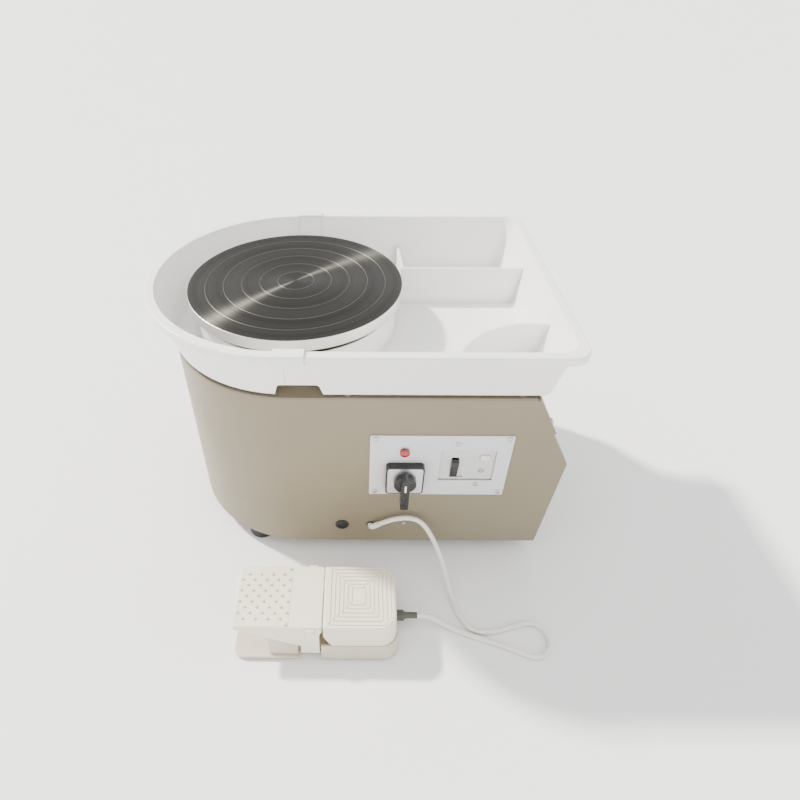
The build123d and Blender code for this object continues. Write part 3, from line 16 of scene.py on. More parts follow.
import bmesh
import bpy
import numpy as np
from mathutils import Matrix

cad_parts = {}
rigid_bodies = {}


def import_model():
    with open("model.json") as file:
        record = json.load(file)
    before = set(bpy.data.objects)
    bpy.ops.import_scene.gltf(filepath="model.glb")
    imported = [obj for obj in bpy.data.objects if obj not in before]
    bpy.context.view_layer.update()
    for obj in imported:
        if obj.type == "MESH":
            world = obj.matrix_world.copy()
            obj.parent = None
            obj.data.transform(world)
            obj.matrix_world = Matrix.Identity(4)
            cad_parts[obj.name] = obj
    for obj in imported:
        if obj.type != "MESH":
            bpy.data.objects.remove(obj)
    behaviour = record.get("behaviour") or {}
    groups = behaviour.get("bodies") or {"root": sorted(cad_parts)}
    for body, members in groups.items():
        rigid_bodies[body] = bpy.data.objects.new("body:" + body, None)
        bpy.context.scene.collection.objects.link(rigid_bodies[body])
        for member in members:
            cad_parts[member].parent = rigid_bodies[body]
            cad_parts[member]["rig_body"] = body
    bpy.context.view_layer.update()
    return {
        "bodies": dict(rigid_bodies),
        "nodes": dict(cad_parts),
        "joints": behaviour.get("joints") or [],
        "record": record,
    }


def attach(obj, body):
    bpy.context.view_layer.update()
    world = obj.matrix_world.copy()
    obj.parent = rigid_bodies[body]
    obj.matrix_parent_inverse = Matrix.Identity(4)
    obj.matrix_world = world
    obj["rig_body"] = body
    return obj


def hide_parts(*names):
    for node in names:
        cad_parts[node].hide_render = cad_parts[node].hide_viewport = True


LOG = logging.getLogger("pottery_wheel")
MM = 0.001
FLOOR_Z = -357.0 * MM
Array = np.ndarray
Point = tuple[float, float, float]


class Axis(Enum):
    """The axis that a round piece is turned about."""

    X = 0
    Y = 1
    Z = 2


# ------------------------------------------------------------------------------ small helpers


def level(height_mm: float) -> float:
    """Z in metres of a height above the floor in millimetres."""
    return FLOOR_Z + height_mm * MM


def linear(hex_colour: str) -> tuple[float, float, float, float]:
    """Turn an sRGB hex value such as "#B8B09C" into a linear colour with alpha 1.

    Args:
        hex_colour: six hex digits after a hash.

    Returns:
        Linear red, green, blue and alpha.
    """
    digits = hex_colour.lstrip("#")
    values = [int(digits[i : i + 2], 16) / 255 for i in (0, 2, 4)]
    red, green, blue = (v / 12.92 if v <= 0.04045 else ((v + 0.055) / 1.055) ** 2.4 for v in values)
    return red, green, blue, 1.0


def add_node(
    tree: bpy.types.NodeTree,
    kind: str,
    settings: dict[str | int, Any] | None = None,
    links: dict[str | int, bpy.types.NodeSocket] | None = None,
) -> bpy.types.Node:
    """Add a node, set its properties and sockets, and link what feeds it.

    Args:
        tree: the node tree to add to.
        kind: the node's type name without the words ShaderNode.
        settings: property names, socket names or socket numbers, each with its value.
        links: socket names or numbers, each with the output that feeds it.

    Returns:
        The new node.
    """
    made = tree.nodes.new("ShaderNode" + kind)
    for key, value in (settings or {}).items():
        if isinstance(key, str) and hasattr(made, key):
            setattr(made, key, value)
        else:
            made.inputs[key].default_value = value
    for key, output in (links or {}).items():
        tree.links.new(output, made.inputs[key])
    return made


def ramp(
    tree: bpy.types.NodeTree, value: bpy.types.NodeSocket, stops: Sequence[tuple[float, str]]
) -> bpy.types.NodeSocket:
    """Spread a 0 to 1 value over colours.

    Args:
        tree: the node tree.
        value: the output to spread.
        stops: places from 0 to 1, each with a hex colour.

    Returns:
        The colour output.
    """
    made = add_node(tree, "ValToRGB", links={"Fac": value})
    band = made.color_ramp
    while len(band.elements) < len(stops):
        band.elements.new(0.5)
    for element, (place, colour) in zip(band.elements, stops):
        element.position = place
        element.color = linear(colour)
    return made.outputs["Color"]


# ------------------------------------------------------------------------------ finishes


@dataclass(frozen=True)
class Finish:
    """A finish with a slow colour drift, a fine grain in relief and an uneven gloss.

    Lengths are in millimetres. grain is the size of the relief's bumps and relief their height.
    """

    name: str
    colour: str
    drift_colour: str
    roughness: float
    drift: float = 60.0
    grain: float = 0.6
    relief: float = 0.02
    gloss_change: float = 0.06
    metallic: float = 0.0
    ior: float = 1.5
    coat: float = 0.0
    coat_roughness: float = 0.1
    subsurface: float = 0.0
    transmission: float = 0.0
    # colour mixed into shut-in corners: painted shade on pale finishes, dust on dark ones
    shade_and_dust: str | None = None
    shade_and_dust_reach: float = 8.0

    def build(self) -> bpy.types.Material:
        """Make the material, or return the one already made under this name."""
        if self.name in bpy.data.materials:
            return bpy.data.materials[self.name]
        material = bpy.data.materials.new(self.name)
        material.use_nodes = True
        tree = material.node_tree
        shader = tree.nodes["Principled BSDF"]
        settings = {
            "Roughness": self.roughness,
            "Metallic": self.metallic,
            "Coat Weight": self.coat,
            "Coat Roughness": self.coat_roughness,
            "Subsurface Weight": self.subsurface,
            "Transmission Weight": self.transmission,
        }
        if self.metallic < 0.5:
            settings["IOR"] = self.ior
        for socket, value in settings.items():
            shader.inputs[socket].default_value = value
        if self.subsurface:
            shader.inputs["Subsurface Radius"].default_value = (1.0, 0.9, 0.75)
            shader.inputs["Subsurface Scale"].default_value = 2.0 * MM
        place = add_node(tree, "TexCoord").outputs["Object"]
        self.paint(tree, shader, place)
        return material

    def paint(
        self, tree: bpy.types.NodeTree, shader: bpy.types.Node, place: bpy.types.NodeSocket
    ) -> None:
        """Feed the shader's colour, roughness and normal.

        Args:
            tree: the material's node tree.
            shader: its principled shader.
            place: object coordinates in metres.
        """
        drift = self.noise(tree, place, self.drift, detail=3.0)
        colour = ramp(tree, drift, [(0.3, self.colour), (0.75, self.drift_colour)])
        # painted shade in the corners of pale finishes, dust in those of dark ones
        if self.shade_and_dust:
            colour = self.shaded_and_dusted(tree, colour)
        tree.links.new(colour, shader.inputs["Base Color"])
        smear = self.noise(tree, place, self.drift * 0.4, detail=5.0)
        self.uneven_gloss(tree, shader, smear)
        grain = self.noise(tree, place, self.grain, detail=2.0)
        self.emboss(tree, shader, grain, self.relief)

    def noise(
        self,
        tree: bpy.types.NodeTree,
        place: bpy.types.NodeSocket,
        size: float,
        detail: float = 2.0,
        stretch: Point = (1.0, 1.0, 1.0),
    ) -> bpy.types.NodeSocket:
        """Noise whose blobs are about size millimetres across, longer along stretched axes."""
        per_metre = 1 / (size * MM)
        scaled = add_node(
            tree,
            "Mapping",
            {"Scale": tuple(per_metre / share for share in stretch)},
            {"Vector": place},
        )
        return add_node(
            tree,
            "TexNoise",
            {"Scale": 1.0, "Detail": detail, "Roughness": 0.55},
            {"Vector": scaled.outputs["Vector"]},
        ).outputs["Fac"]

    def uneven_gloss(
        self, tree: bpy.types.NodeTree, shader: bpy.types.Node, value: bpy.types.NodeSocket
    ) -> None:
        """Vary the roughness by gloss_change either side of its value."""
        low, high = self.roughness - self.gloss_change, self.roughness + self.gloss_change
        spread = add_node(
            tree,
            "MapRange",
            {"From Min": 0.3, "From Max": 0.7, "To Min": max(low, 0.02), "To Max": min(high, 1.0)},
            {"Value": value},
        )
        tree.links.new(spread.outputs["Result"], shader.inputs["Roughness"])

    def emboss(
        self,
        tree: bpy.types.NodeTree,
        shader: bpy.types.Node,
        height: bpy.types.NodeSocket,
        relief: float,
    ) -> None:
        """Raise the surface by relief millimetres where height is 1."""
        bump = add_node(
            tree, "Bump", {"Strength": 1.0, "Distance": relief * MM}, {"Height": height}
        )
        tree.links.new(bump.outputs["Normal"], shader.inputs["Normal"])

    def shaded_and_dusted(
        self, tree: bpy.types.NodeTree, colour: bpy.types.NodeSocket
    ) -> bpy.types.NodeSocket:
        """Mix a colour into the corners where the surface is shut in: painted shade where it is
        darker than the finish, dust where it is lighter.
        """
        shut = add_node(
            tree, "AmbientOcclusion", {"Distance": self.shade_and_dust_reach * MM, "samples": 8}
        ).outputs["AO"]
        amount = add_node(
            tree,
            "MapRange",
            {"From Min": 0.35, "From Max": 0.95, "To Min": 0.55, "To Max": 0.0},
            {"Value": shut},
        )
        mixed = add_node(
            tree,
            "Mix",
            {"data_type": "RGBA", 7: linear(self.shade_and_dust or self.colour)},
            {0: amount.outputs["Result"], 6: colour},
        )
        return mixed.outputs[2]


@dataclass(frozen=True)
class OrangePeel(Finish):
    """Powder coat: the fused paint keeps a shallow dimpled skin a millimetre or two across."""

    def paint(
        self, tree: bpy.types.NodeTree, shader: bpy.types.Node, place: bpy.types.NodeSocket
    ) -> None:
        """Feed the shader, with dimples over a fine grain."""
        super().paint(tree, shader, place)
        dimples = self.noise(tree, place, 2.4, detail=1.0)
        fine = self.noise(tree, place, self.grain, detail=2.0)
        both = add_node(
            tree, "Math", {"operation": "MULTIPLY_ADD", 1: 3.0}, {0: dimples, 2: fine}
        ).outputs["Value"]
        self.emboss(tree, shader, both, self.relief)


@dataclass(frozen=True)
class TurnedMetal(Finish):
    """Metal faced on a lathe: the tool leaves rings about centre, which pull highlights out."""

    centre: Point = (0.0, 0.0, 0.0)
    ring_pitch: float = 1.1
    streak: float = 0.75
    streak_turn: float = 0.25
    tangent: Axis = Axis.Z

    def paint(
        self, tree: bpy.types.NodeTree, shader: bpy.types.Node, place: bpy.types.NodeSocket
    ) -> None:
        """Feed the shader with rings in colour, gloss and relief, and turn its highlight."""
        moved = add_node(
            tree,
            "VectorMath",
            {"operation": "SUBTRACT", 1: self.centre},
            {0: place},
        ).outputs["Vector"]
        flat = add_node(
            tree, "VectorMath", {"operation": "MULTIPLY", 1: (1.0, 1.0, 0.0)}, {0: moved}
        ).outputs["Vector"]
        radius = add_node(
            tree, "VectorMath", {"operation": "LENGTH"}, {0: flat}
        ).outputs["Value"]
        # rings of uneven tone: one-dimensional noise along the radius
        tone = add_node(
            tree,
            "TexNoise",
            {"noise_dimensions": "1D", "Scale": 1 / (self.ring_pitch * MM), "Detail": 4.0},
            {"W": radius},
        ).outputs["Fac"]
        wide = add_node(
            tree,
            "TexNoise",
            {"noise_dimensions": "1D", "Scale": 1 / (14 * self.ring_pitch * MM), "Detail": 3.0},
            {"W": radius},
        ).outputs["Fac"]
        both = add_node(
            tree, "Math", {"operation": "MULTIPLY_ADD", 1: 0.6}, {0: tone, 2: wide}
        ).outputs["Value"]
        shifted = add_node(
            tree, "Math", {"operation": "SUBTRACT", 1: 0.3}, {0: both}
        ).outputs["Value"]
        colour = ramp(tree, shifted, [(0.3, self.colour), (0.7, self.drift_colour)])
        tree.links.new(colour, shader.inputs["Base Color"])
        self.uneven_gloss(tree, shader, tone)
        self.emboss(tree, shader, tone, self.relief)
        # the tangent runs round the axis and is turned a quarter, so the highlight opens
        # along the radius
        around = add_node(
            tree, "Tangent", {"direction_type": "RADIAL", "axis": self.tangent.name}
        ).outputs["Tangent"]
        tree.links.new(around, shader.inputs["Tangent"])
        shader.inputs["Anisotropic"].default_value = self.streak
        shader.inputs["Anisotropic Rotation"].default_value = self.streak_turn


@dataclass(frozen=True)
class BrushedMetal(Finish):
    """Metal brushed or drawn one way: scratches a hair wide run along one axis."""

    along: Axis = Axis.X

    def paint(
        self, tree: bpy.types.NodeTree, shader: bpy.types.Node, place: bpy.types.NodeSocket
    ) -> None:
        """Feed the shader with scratches in colour, gloss and relief."""
        stretch = [1.0, 1.0, 1.0]
        stretch[self.along.value] = 40.0
        scratch = self.noise(tree, place, self.grain, detail=4.0, stretch=tuple(stretch))
        colour = ramp(tree, scratch, [(0.3, self.colour), (0.7, self.drift_colour)])
        tree.links.new(colour, shader.inputs["Base Color"])
        self.uneven_gloss(tree, shader, scratch)
        self.emboss(tree, shader, scratch, self.relief)


# Polyester powder coat, beige grey: satin and dimpled, with painted shade in its folds.
CABINET_COAT = OrangePeel(
    "beige_powder_coat", "#837962", "#7F755E", 0.48, drift=180.0, grain=0.9, relief=0.012,
    gloss_change=0.05, coat=0.15, coat_roughness=0.35, shade_and_dust="#6E6755", shade_and_dust_reach=10.0,
)
# The deck under the tray has the same coat, darker and duller.
DECK_COAT = OrangePeel(
    "deck_powder_coat", "#7B725D", "#756C57", 0.55, drift=90.0, grain=0.9, relief=0.015,
    shade_and_dust="#625B4C", shade_and_dust_reach=12.0,
)
# High-impact polystyrene, vacuum formed: satin outside, the light sinks into it a little.
TRAY_PLASTIC = Finish(
    "ivory_tray_plastic", "#F6F5F3", "#F2F1EF", 0.36, drift=150.0, grain=1.6, relief=0.012,
    gloss_change=0.07, ior=1.59, subsurface=0.12, shade_and_dust="#C9C4BC", shade_and_dust_reach=14.0,
)
# ABS moulding, warm white.
PEDAL_PLASTIC = Finish(
    "warm_white_abs", "#F1EAD6", "#ECE4CE", 0.38, drift=50.0, grain=0.7, relief=0.018,
    gloss_change=0.08, ior=1.54, subsurface=0.1, shade_and_dust="#A89E8B", shade_and_dust_reach=3.0,
)
PEDAL_BASE_PLASTIC = Finish(
    "pale_base_abs", "#D2C9B6", "#CBC1AC", 0.42, drift=50.0, grain=0.7, relief=0.018,
    ior=1.54, shade_and_dust="#948A78", shade_and_dust_reach=5.0,
)
# Aluminium faced on a lathe, painted dark for the reflection of dark surroundings: rings, and a
# highlight drawn along the radius.
HEAD_FACE = TurnedMetal(
    "dark_reflection_turned_aluminium", "#32302D", "#413F3B", 0.31, metallic=1.0, relief=0.004,
    gloss_change=0.05, ring_pitch=1.3, streak=1.0,
)
# The grooves are painted a little lighter than the face, a painted reflection of the light their
# polished flanks catch.
HEAD_GROOVE = TurnedMetal(
    "light_catching_groove_aluminium", "#66645F", "#74726C", 0.4, metallic=1.0, relief=0.004,
    ring_pitch=0.9, streak=0.8,
)
# The rim and the underside are cut bright.
HEAD_RIM = TurnedMetal(
    "bright_turned_aluminium", "#D9D8D4", "#E6E5E2", 0.32, metallic=1.0, relief=0.004,
    ring_pitch=0.9, streak=0.3,
)
HUB_METAL = TurnedMetal(
    "machined_aluminium", "#B9B8B6", "#C6C5C3", 0.3, metallic=1.0, relief=0.006, streak=0.4
)
SHAFT_METAL = BrushedMetal(
    "ground_steel", "#A9A9A8", "#BDBDBC", 0.24, metallic=1.0, grain=0.4, relief=0.004,
    along=Axis.Z,
)
BEARING_METAL = BrushedMetal(
    "polished_bearing_steel", "#C9C9CB", "#D6D6D8", 0.16, metallic=1.0, grain=0.4, relief=0.003
)
HOUSING_IRON = Finish(
    "painted_grey_casting", "#3D4043", "#474A4D", 0.55, drift=30.0, grain=1.8, relief=0.12,
    coat=0.1, shade_and_dust="#2A2A29",
)
BELT_RUBBER = Finish(
    "black_neoprene_belt", "#1B1B1B", "#232322", 0.7, drift=20.0, grain=0.8, relief=0.05,
    ior=1.52,
)
FOOT_RUBBER = Finish(
    "black_nitrile_rubber", "#171716", "#22211F", 0.62, drift=15.0, grain=0.7, relief=0.03,
    ior=1.52, shade_and_dust="#4A463E", shade_and_dust_reach=5.0,
)
MOTOR_PAINT = Finish(
    "black_motor_enamel", "#222223", "#2B2B2C", 0.4, drift=30.0, grain=0.9, relief=0.03,
    coat=0.3, coat_roughness=0.3,
)
BRACKET_ZINC = BrushedMetal(
    "zinc_plated_steel", "#B8B5A6", "#C7C3B1", 0.34, metallic=1.0, grain=0.9, relief=0.006
)
SCREW_ZINC = BrushedMetal(
    "bright_zinc_screw", "#C9C8C3", "#DAD9D5", 0.28, metallic=1.0, grain=0.3, relief=0.01
)
HEAT_SINK = BrushedMetal(
    "extruded_aluminium", "#B4B6B9", "#C2C4C6", 0.36, metallic=1.0, grain=0.5, relief=0.008,
    along=Axis.Y,
)
SPRING_WIRE = BrushedMetal(
    "drawn_spring_steel", "#9C9B98", "#B1B0AD", 0.3, metallic=1.0, grain=0.2, relief=0.003,
    along=Axis.Z,
)
# The panel is a plain overlay on aluminium sheet: pale grey and matt.
PANEL_FACE = Finish(
    "pale_grey_overlay", "#D8D6D8", "#D3D1D3", 0.45, drift=60.0, grain=0.35, relief=0.006,
    gloss_change=0.05, shade_and_dust="#A6A3A0", shade_and_dust_reach=4.0,
)
SILVER_LABEL = BrushedMetal(
    "brushed_silver_plate", "#C9CACC", "#D9DADC", 0.34, metallic=0.9, grain=0.35, relief=0.003
)
# Phenolic and nylon parts of the controls.
SWITCH_BLACK = Finish(
    "black_phenolic", "#151516", "#1D1D1E", 0.4, drift=12.0, grain=0.4, relief=0.01,
    gloss_change=0.06, ior=1.55, shade_and_dust="#2E2C2A", shade_and_dust_reach=2.0,
)
KNOB_BLACK = Finish(
    "black_glossy_nylon", "#0F0F10", "#171718", 0.28, drift=10.0, grain=0.5, relief=0.006,
    ior=1.53,
)
MARKER_WHITE = Finish(
    "white_filled_line", "#F1F0EC", "#E9E8E3", 0.45, drift=6.0, grain=0.3, relief=0.01
)
BREAKER_GREY = Finish(
    "light_grey_polyamide", "#D2D2CE", "#CBCBC6", 0.42, drift=18.0, grain=0.5, relief=0.012,
    ior=1.53, shade_and_dust="#8F8C86", shade_and_dust_reach=2.5,
)
BUTTON_CREAM = Finish(
    "cream_urea_button", "#EDE7D6", "#E6DFCB", 0.3, drift=6.0, grain=0.3, relief=0.006
)
LAMP_RED = Finish(
    "red_tinted_polycarbonate", "#B3081A", "#9A0615", 0.12, drift=5.0, grain=0.8, relief=0.01,
    ior=1.58, coat=0.6, coat_roughness=0.05, transmission=0.25,
)
CHROMED = BrushedMetal(
    "chromed_bezel", "#D5D6D8", "#E1E2E4", 0.14, metallic=1.0, grain=0.3, relief=0.001
)
GREY_GLAND = Finish(
    "dark_grey_soft_pvc", "#4B4A45", "#55544E", 0.5, drift=8.0, grain=0.5, relief=0.02, ior=1.52,
    shade_and_dust="#33322F", shade_and_dust_reach=2.0,
)
WHITE_JACKET = Finish(
    "white_pvc_jacket", "#EFEDE6", "#E9E6DC", 0.4, drift=40.0, grain=0.8, relief=0.02,
    ior=1.53, subsurface=0.08, shade_and_dust="#B5B0A4", shade_and_dust_reach=3.0,
)
CIRCUIT_GREEN = Finish(
    "green_solder_mask", "#1C5A35", "#174C2D", 0.3, drift=8.0, grain=0.6, relief=0.02, coat=0.4
)
STUDIO_FLOOR = Finish(
    "pale_studio_paper", "#F5F5F4", "#F3F3F2", 0.75, drift=400.0, grain=1.5, relief=0.004,
    gloss_change=0.03,
)


# ------------------------------------------------------------------------------ making meshes


def put_mesh(
    name: str,
    points: Array,
    faces: Array | list[list[int]],
    finish: Finish,
    sharp_degrees: float = 32.0,
) -> bpy.types.Object:
    """Put points and faces into a new piece with smooth shading up to a sharp angle.

    Args:
        name: the piece's name.
        points: rows of x, y, z in metres.
        faces: rows of point numbers.
        finish: what the piece is dressed in.
        sharp_degrees: edges that turn more than this stay sharp.

    Returns:
        The new piece, at the origin.
    """
    mesh = bpy.data.meshes.new(name)
    rows = faces.tolist() if isinstance(faces, np.ndarray) else faces
    mesh.from_pydata(points.tolist(), [], rows)
    mesh.validate()
    mesh.shade_smooth()
    mesh.set_sharp_from_angle(angle=math.radians(sharp_degrees))
    mesh.materials.append(finish.build())
    piece = bpy.data.objects.new(name, mesh)
    bpy.context.scene.collection.objects.link(piece)
    return piece


def grid_faces(rows: int, columns: int, wrap_rows: bool, wrap_columns: bool) -> Array:
    """Quads of a grid of points, numbered row by row, joined round where a way wraps."""
    down = np.arange(rows if wrap_rows else rows - 1)
    across = np.arange(columns if wrap_columns else columns - 1)
    i, j = (part.ravel() for part in np.meshgrid(down, across, indexing="ij"))
    below, right = (i + 1) % rows, (j + 1) % columns
    corners = (i * columns + j, i * columns + right, below * columns + right, below * columns + j)
    return np.stack(corners, axis=1)


def rounded_profile(corners: Sequence[Point], steps: int = 4) -> Array:
    """Round a profile's corners: each is a quadratic curve between points r before and after it.

    Args:
        corners: rows of across, along and corner radius, in millimetres.
        steps: points on each rounded corner.

    Returns:
        Rows of across and along, in metres.
    """
    table = np.array(corners, float)
    spots, radii = table[:, :2] * MM, table[:, 2] * MM
    made = [spots[:1]]
    share = np.linspace(0, 1, steps)[:, None]
    for before, here, after, radius in zip(spots, spots[1:], spots[2:], radii[1:]):
        if radius <= 0:
            made.append(here[None])
            continue
        back, ahead = before - here, after - here
        reach_back = min(radius, 0.49 * float(np.hypot(*back)))
        reach_ahead = min(radius, 0.49 * float(np.hypot(*ahead)))
        start = here + back / np.hypot(*back) * reach_back
        end = here + ahead / np.hypot(*ahead) * reach_ahead
        made.append((1 - share) ** 2 * start + 2 * share * (1 - share) * here + share**2 * end)
    made.append(spots[-1:])
    return np.concatenate(made)


def turned(
    name: str,
    profile: Array,
    finish: Finish,
    centre: Point = (0.0, 0.0, 0.0),
    axis: Axis = Axis.Z,
    segments: int = 96,
    sharp_degrees: float = 32.0,
) -> bpy.types.Object:
    """Turn a profile about an axis: point(i, a) = centre + r_i (cos a, sin a) + z_i axis.

    Args:
        name: the piece's name.
        profile: rows of radius and height along the axis, in metres, ending on the axis or
            coming back to the start.
        finish: what the piece is dressed in.
        centre: where height 0 on the axis is.
        axis: the axis; height grows along it.
        segments: steps round the axis.
        sharp_degrees: edges that turn more than this stay sharp.

    Returns:
        The new piece.
    """
    angle = np.linspace(0, 2 * math.pi, segments, endpoint=False)
    radius, height = profile[:, :1], profile[:, 1:]
    ones = np.ones_like(angle)
    parts = [radius * np.cos(angle), radius * np.sin(angle), height * ones]
    order = {Axis.Z: (0, 1, 2), Axis.Y: (1, 2, 0), Axis.X: (2, 0, 1)}[axis]
    points = np.stack([parts[k] for k in order], axis=-1).reshape(-1, 3) + np.array(centre)
    closed = bool(np.allclose(profile[0], profile[-1]))
    faces = grid_faces(len(profile), segments, False, True)
    points, faces = welded(points, faces)
    if closed or (profile[0, 0] < 1e-7 and profile[-1, 0] < 1e-7):
        faces = outward(points, faces)
    return put_mesh(name, points, faces, finish, sharp_degrees)


def welded(points: Array, faces: Array, grid: float = 1e-7) -> tuple[Array, list[list[int]]]:
    """Join points that coincide and drop what collapses, keeping each face's order.

    Args:
        points: rows of x, y, z.
        faces: rows of point numbers.
        grid: points within this of each other are one.

    Returns:
        The kept points, and the faces as lists with repeated corners taken out.
    """
    _, first, number = np.unique(
        np.round(points / grid).astype(np.int64), axis=0, return_index=True, return_inverse=True
    )
    renamed = number.reshape(-1)[np.asarray(faces)]
    differs = renamed != np.roll(renamed, 1, axis=1)
    whole = differs.all(axis=1)
    kept = renamed[whole].tolist()
    for row, mark in zip(renamed[~whole], differs[~whole]):
        if mark.sum() > 2:
            kept.append(row[mark].tolist())
    return points[first], kept


def outward(points: Array, faces: list[list[int]]) -> list[list[int]]:
    """Turn every face of a closed surface round if its signed volume is negative.

    The volume is a sixth of the sum over triangles of a dot (b cross c). The faces may have
    different numbers of corners.
    """
    volume = 0.0
    for size in {len(face) for face in faces}:
        rows = np.array([face for face in faces if len(face) == size])
        for i in range(1, size - 1):
            a, b, c = points[rows[:, 0]], points[rows[:, i]], points[rows[:, i + 1]]
            volume += float(np.einsum("ij,ij->i", a, np.cross(b, c)).sum())
    return faces if volume >= 0 else [face[::-1] for face in faces]


def refined(
    node: str,
    finish: Finish,
    name: str | None = None,
    edge: float = 0.0,
    sharp_degrees: float = 30.0,
    edge_degrees: float = 40.0,
    merge_flats: bool = True,
) -> bpy.types.Object:
    """Make a finished piece from a CAD node's solid: its triangles welded, its edges eased.

    Args:
        node: the CAD node, which the new piece replaces.
        finish: what the piece is dressed in.
        name: the piece's name; the node's with _skin added if left out.
        edge: how wide the eased edges are, in millimetres; 0 leaves them.
        sharp_degrees: edges that turn more than this stay sharp.
        edge_degrees: edges that turn more than this are eased.
        merge_flats: join triangles that lie in one plane; not for a flat with many holes.

    Returns:
        The new piece, riding on the node's body.
    """
    source = FRAME["nodes"][node]
    count = len(source.data.vertices)
    flat = np.empty(count * 3, np.float32)
    source.data.vertices.foreach_get("co", flat)
    source.data.calc_loop_triangles()
    corners = np.empty(len(source.data.loop_triangles) * 3, np.int32)
    source.data.loop_triangles.foreach_get("vertices", corners)
    points, faces = welded(flat.reshape(-1, 3).astype(float), corners.reshape(-1, 3), 2e-6)
    piece = put_mesh(name or node + "_skin", points, faces, finish, sharp_degrees)
    if merge_flats:
        joined = bmesh.new()
        joined.from_mesh(piece.data)
        bmesh.ops.dissolve_limit(
            joined, angle_limit=math.radians(0.4), verts=joined.verts, edges=joined.edges
        )
        joined.to_mesh(piece.data)
        joined.free()
    piece.data.shade_smooth()
    piece.data.set_sharp_from_angle(angle=math.radians(sharp_degrees))
    if edge:
        ease = piece.modifiers.new("eased_edges", "BEVEL")
        ease.width = edge * MM
        ease.segments = 2
        ease.limit_method = "ANGLE"
        ease.angle_limit = math.radians(edge_degrees)
        ease.harden_normals = True
        ease.miter_outer = "MITER_ARC"
    body = source["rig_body"]
    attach(piece, body)
    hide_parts(node)
    LOG.info("%s stands for %s, %d faces", piece.name, node, len(piece.data.polygons))
    return piece


def dress(nodes: Iterable[str], finish: Finish) -> None:
    """Give carried-over CAD nodes a finish."""
    for node in nodes:
        slots = FRAME["nodes"][node].data.materials
        slots.clear()
        slots.append(finish.build())
        LOG.info("%s dressed in %s", node, finish.name)


# ------------------------------------------------------------------------------ the wheel head


@dataclass
class WheelHead:
    """The throwing disc: a turned aluminium plate with a rim, grooves and a hub below."""

    radius: float = 140.0
    plate: float = 8.0
    rim_depth: float = 15.0
    rim_wall: float = 7.0
    groove_pitch: float = 23.5
    grooves: int = 5
    groove_width: float = 0.8
    groove_depth: float = 0.45
    groove_floor: float = 0.24
    lip: float = 0.15
    lip_depth: float = 0.05
    sunk_depth: float = 0.02
    rim_band: float = 3.0
    edge_ease: float = 0.9

    def face_profile(self) -> list[Point]:
        """Corners of the top face from the centre to the rim, with a vee for each groove."""
        corners: list[Point] = [(0.0, 0.0, 0.0)]
        half, floor = self.groove_width / 2, self.groove_floor / 2
        for ring in range(1, self.grooves + 1):
            middle = ring * self.groove_pitch
            corners += [
                (middle - half - self.lip, 0.0, 0.0),
                (middle - half, -self.lip_depth, 0.0),
                (middle - floor, -self.groove_depth, 0.0),
                (middle + floor, -self.groove_depth, 0.0),
                (middle + half, -self.lip_depth, 0.0),
                (middle + half + self.lip, 0.0, 0.0),
            ]
        return corners

    def build(self) -> None:
        """Make the disc and dress the hub and shaft."""
        under = self.radius - self.rim_wall
        corners = self.face_profile() + [
            (self.radius - 2 * self.edge_ease, 0.0, 0.0),
            (self.radius, 0.0, self.edge_ease),
            (self.radius, -self.rim_depth, 0.6),
            (under, -self.rim_depth, 0.6),
            (under, -self.plate, 2.5),
            (0.0, -self.plate, 0.0),
        ]
        profile = rounded_profile(corners, 12)
        disc = turned("wheel_head_disc", profile, HEAD_FACE, segments=192, sharp_degrees=9.0)
        self.brighten(disc)
        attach(disc, "spindle")
        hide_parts("wheel_head")
        dress(["head_hub", "driven_pulley"], HUB_METAL)
        dress(["spindle_shaft"], SHAFT_METAL)
        dress(["head_screws", "pulley_nut"], SCREW_ZINC)

    def brighten(self, disc: bpy.types.Object) -> None:
        """Give the grooves the lighter finish with its painted reflection, and the rim and
        underside the bright cut one.
        """
        disc.data.materials.append(HEAD_GROOVE.build())
        disc.data.materials.append(HEAD_RIM.build())
        count = len(disc.data.polygons)
        middles = np.empty(count * 3)
        disc.data.polygons.foreach_get("center", middles)
        middles = middles.reshape(-1, 3)
        sunk = middles[:, 2] < -self.sunk_depth * MM
        outer = np.hypot(middles[:, 0], middles[:, 1]) > (self.radius - self.rim_band) * MM
        under = middles[:, 2] < -2 * self.groove_depth * MM
        choice = sunk.astype(np.int32) + (sunk & (outer | under)).astype(np.int32)
        disc.data.polygons.foreach_set("material_index", choice)


# ------------------------------------------------------------------------------ the splash tray


@dataclass
class SplashTray:
    """The two moulded tray halves."""

    def build(self) -> None:
        """Make both halves."""
        for half in ("tray_left", "tray_right"):
            refined(half, TRAY_PLASTIC, half + "_moulding", edge=0.5, sharp_degrees=28.0)


# ------------------------------------------------------------------------------ the cabinet


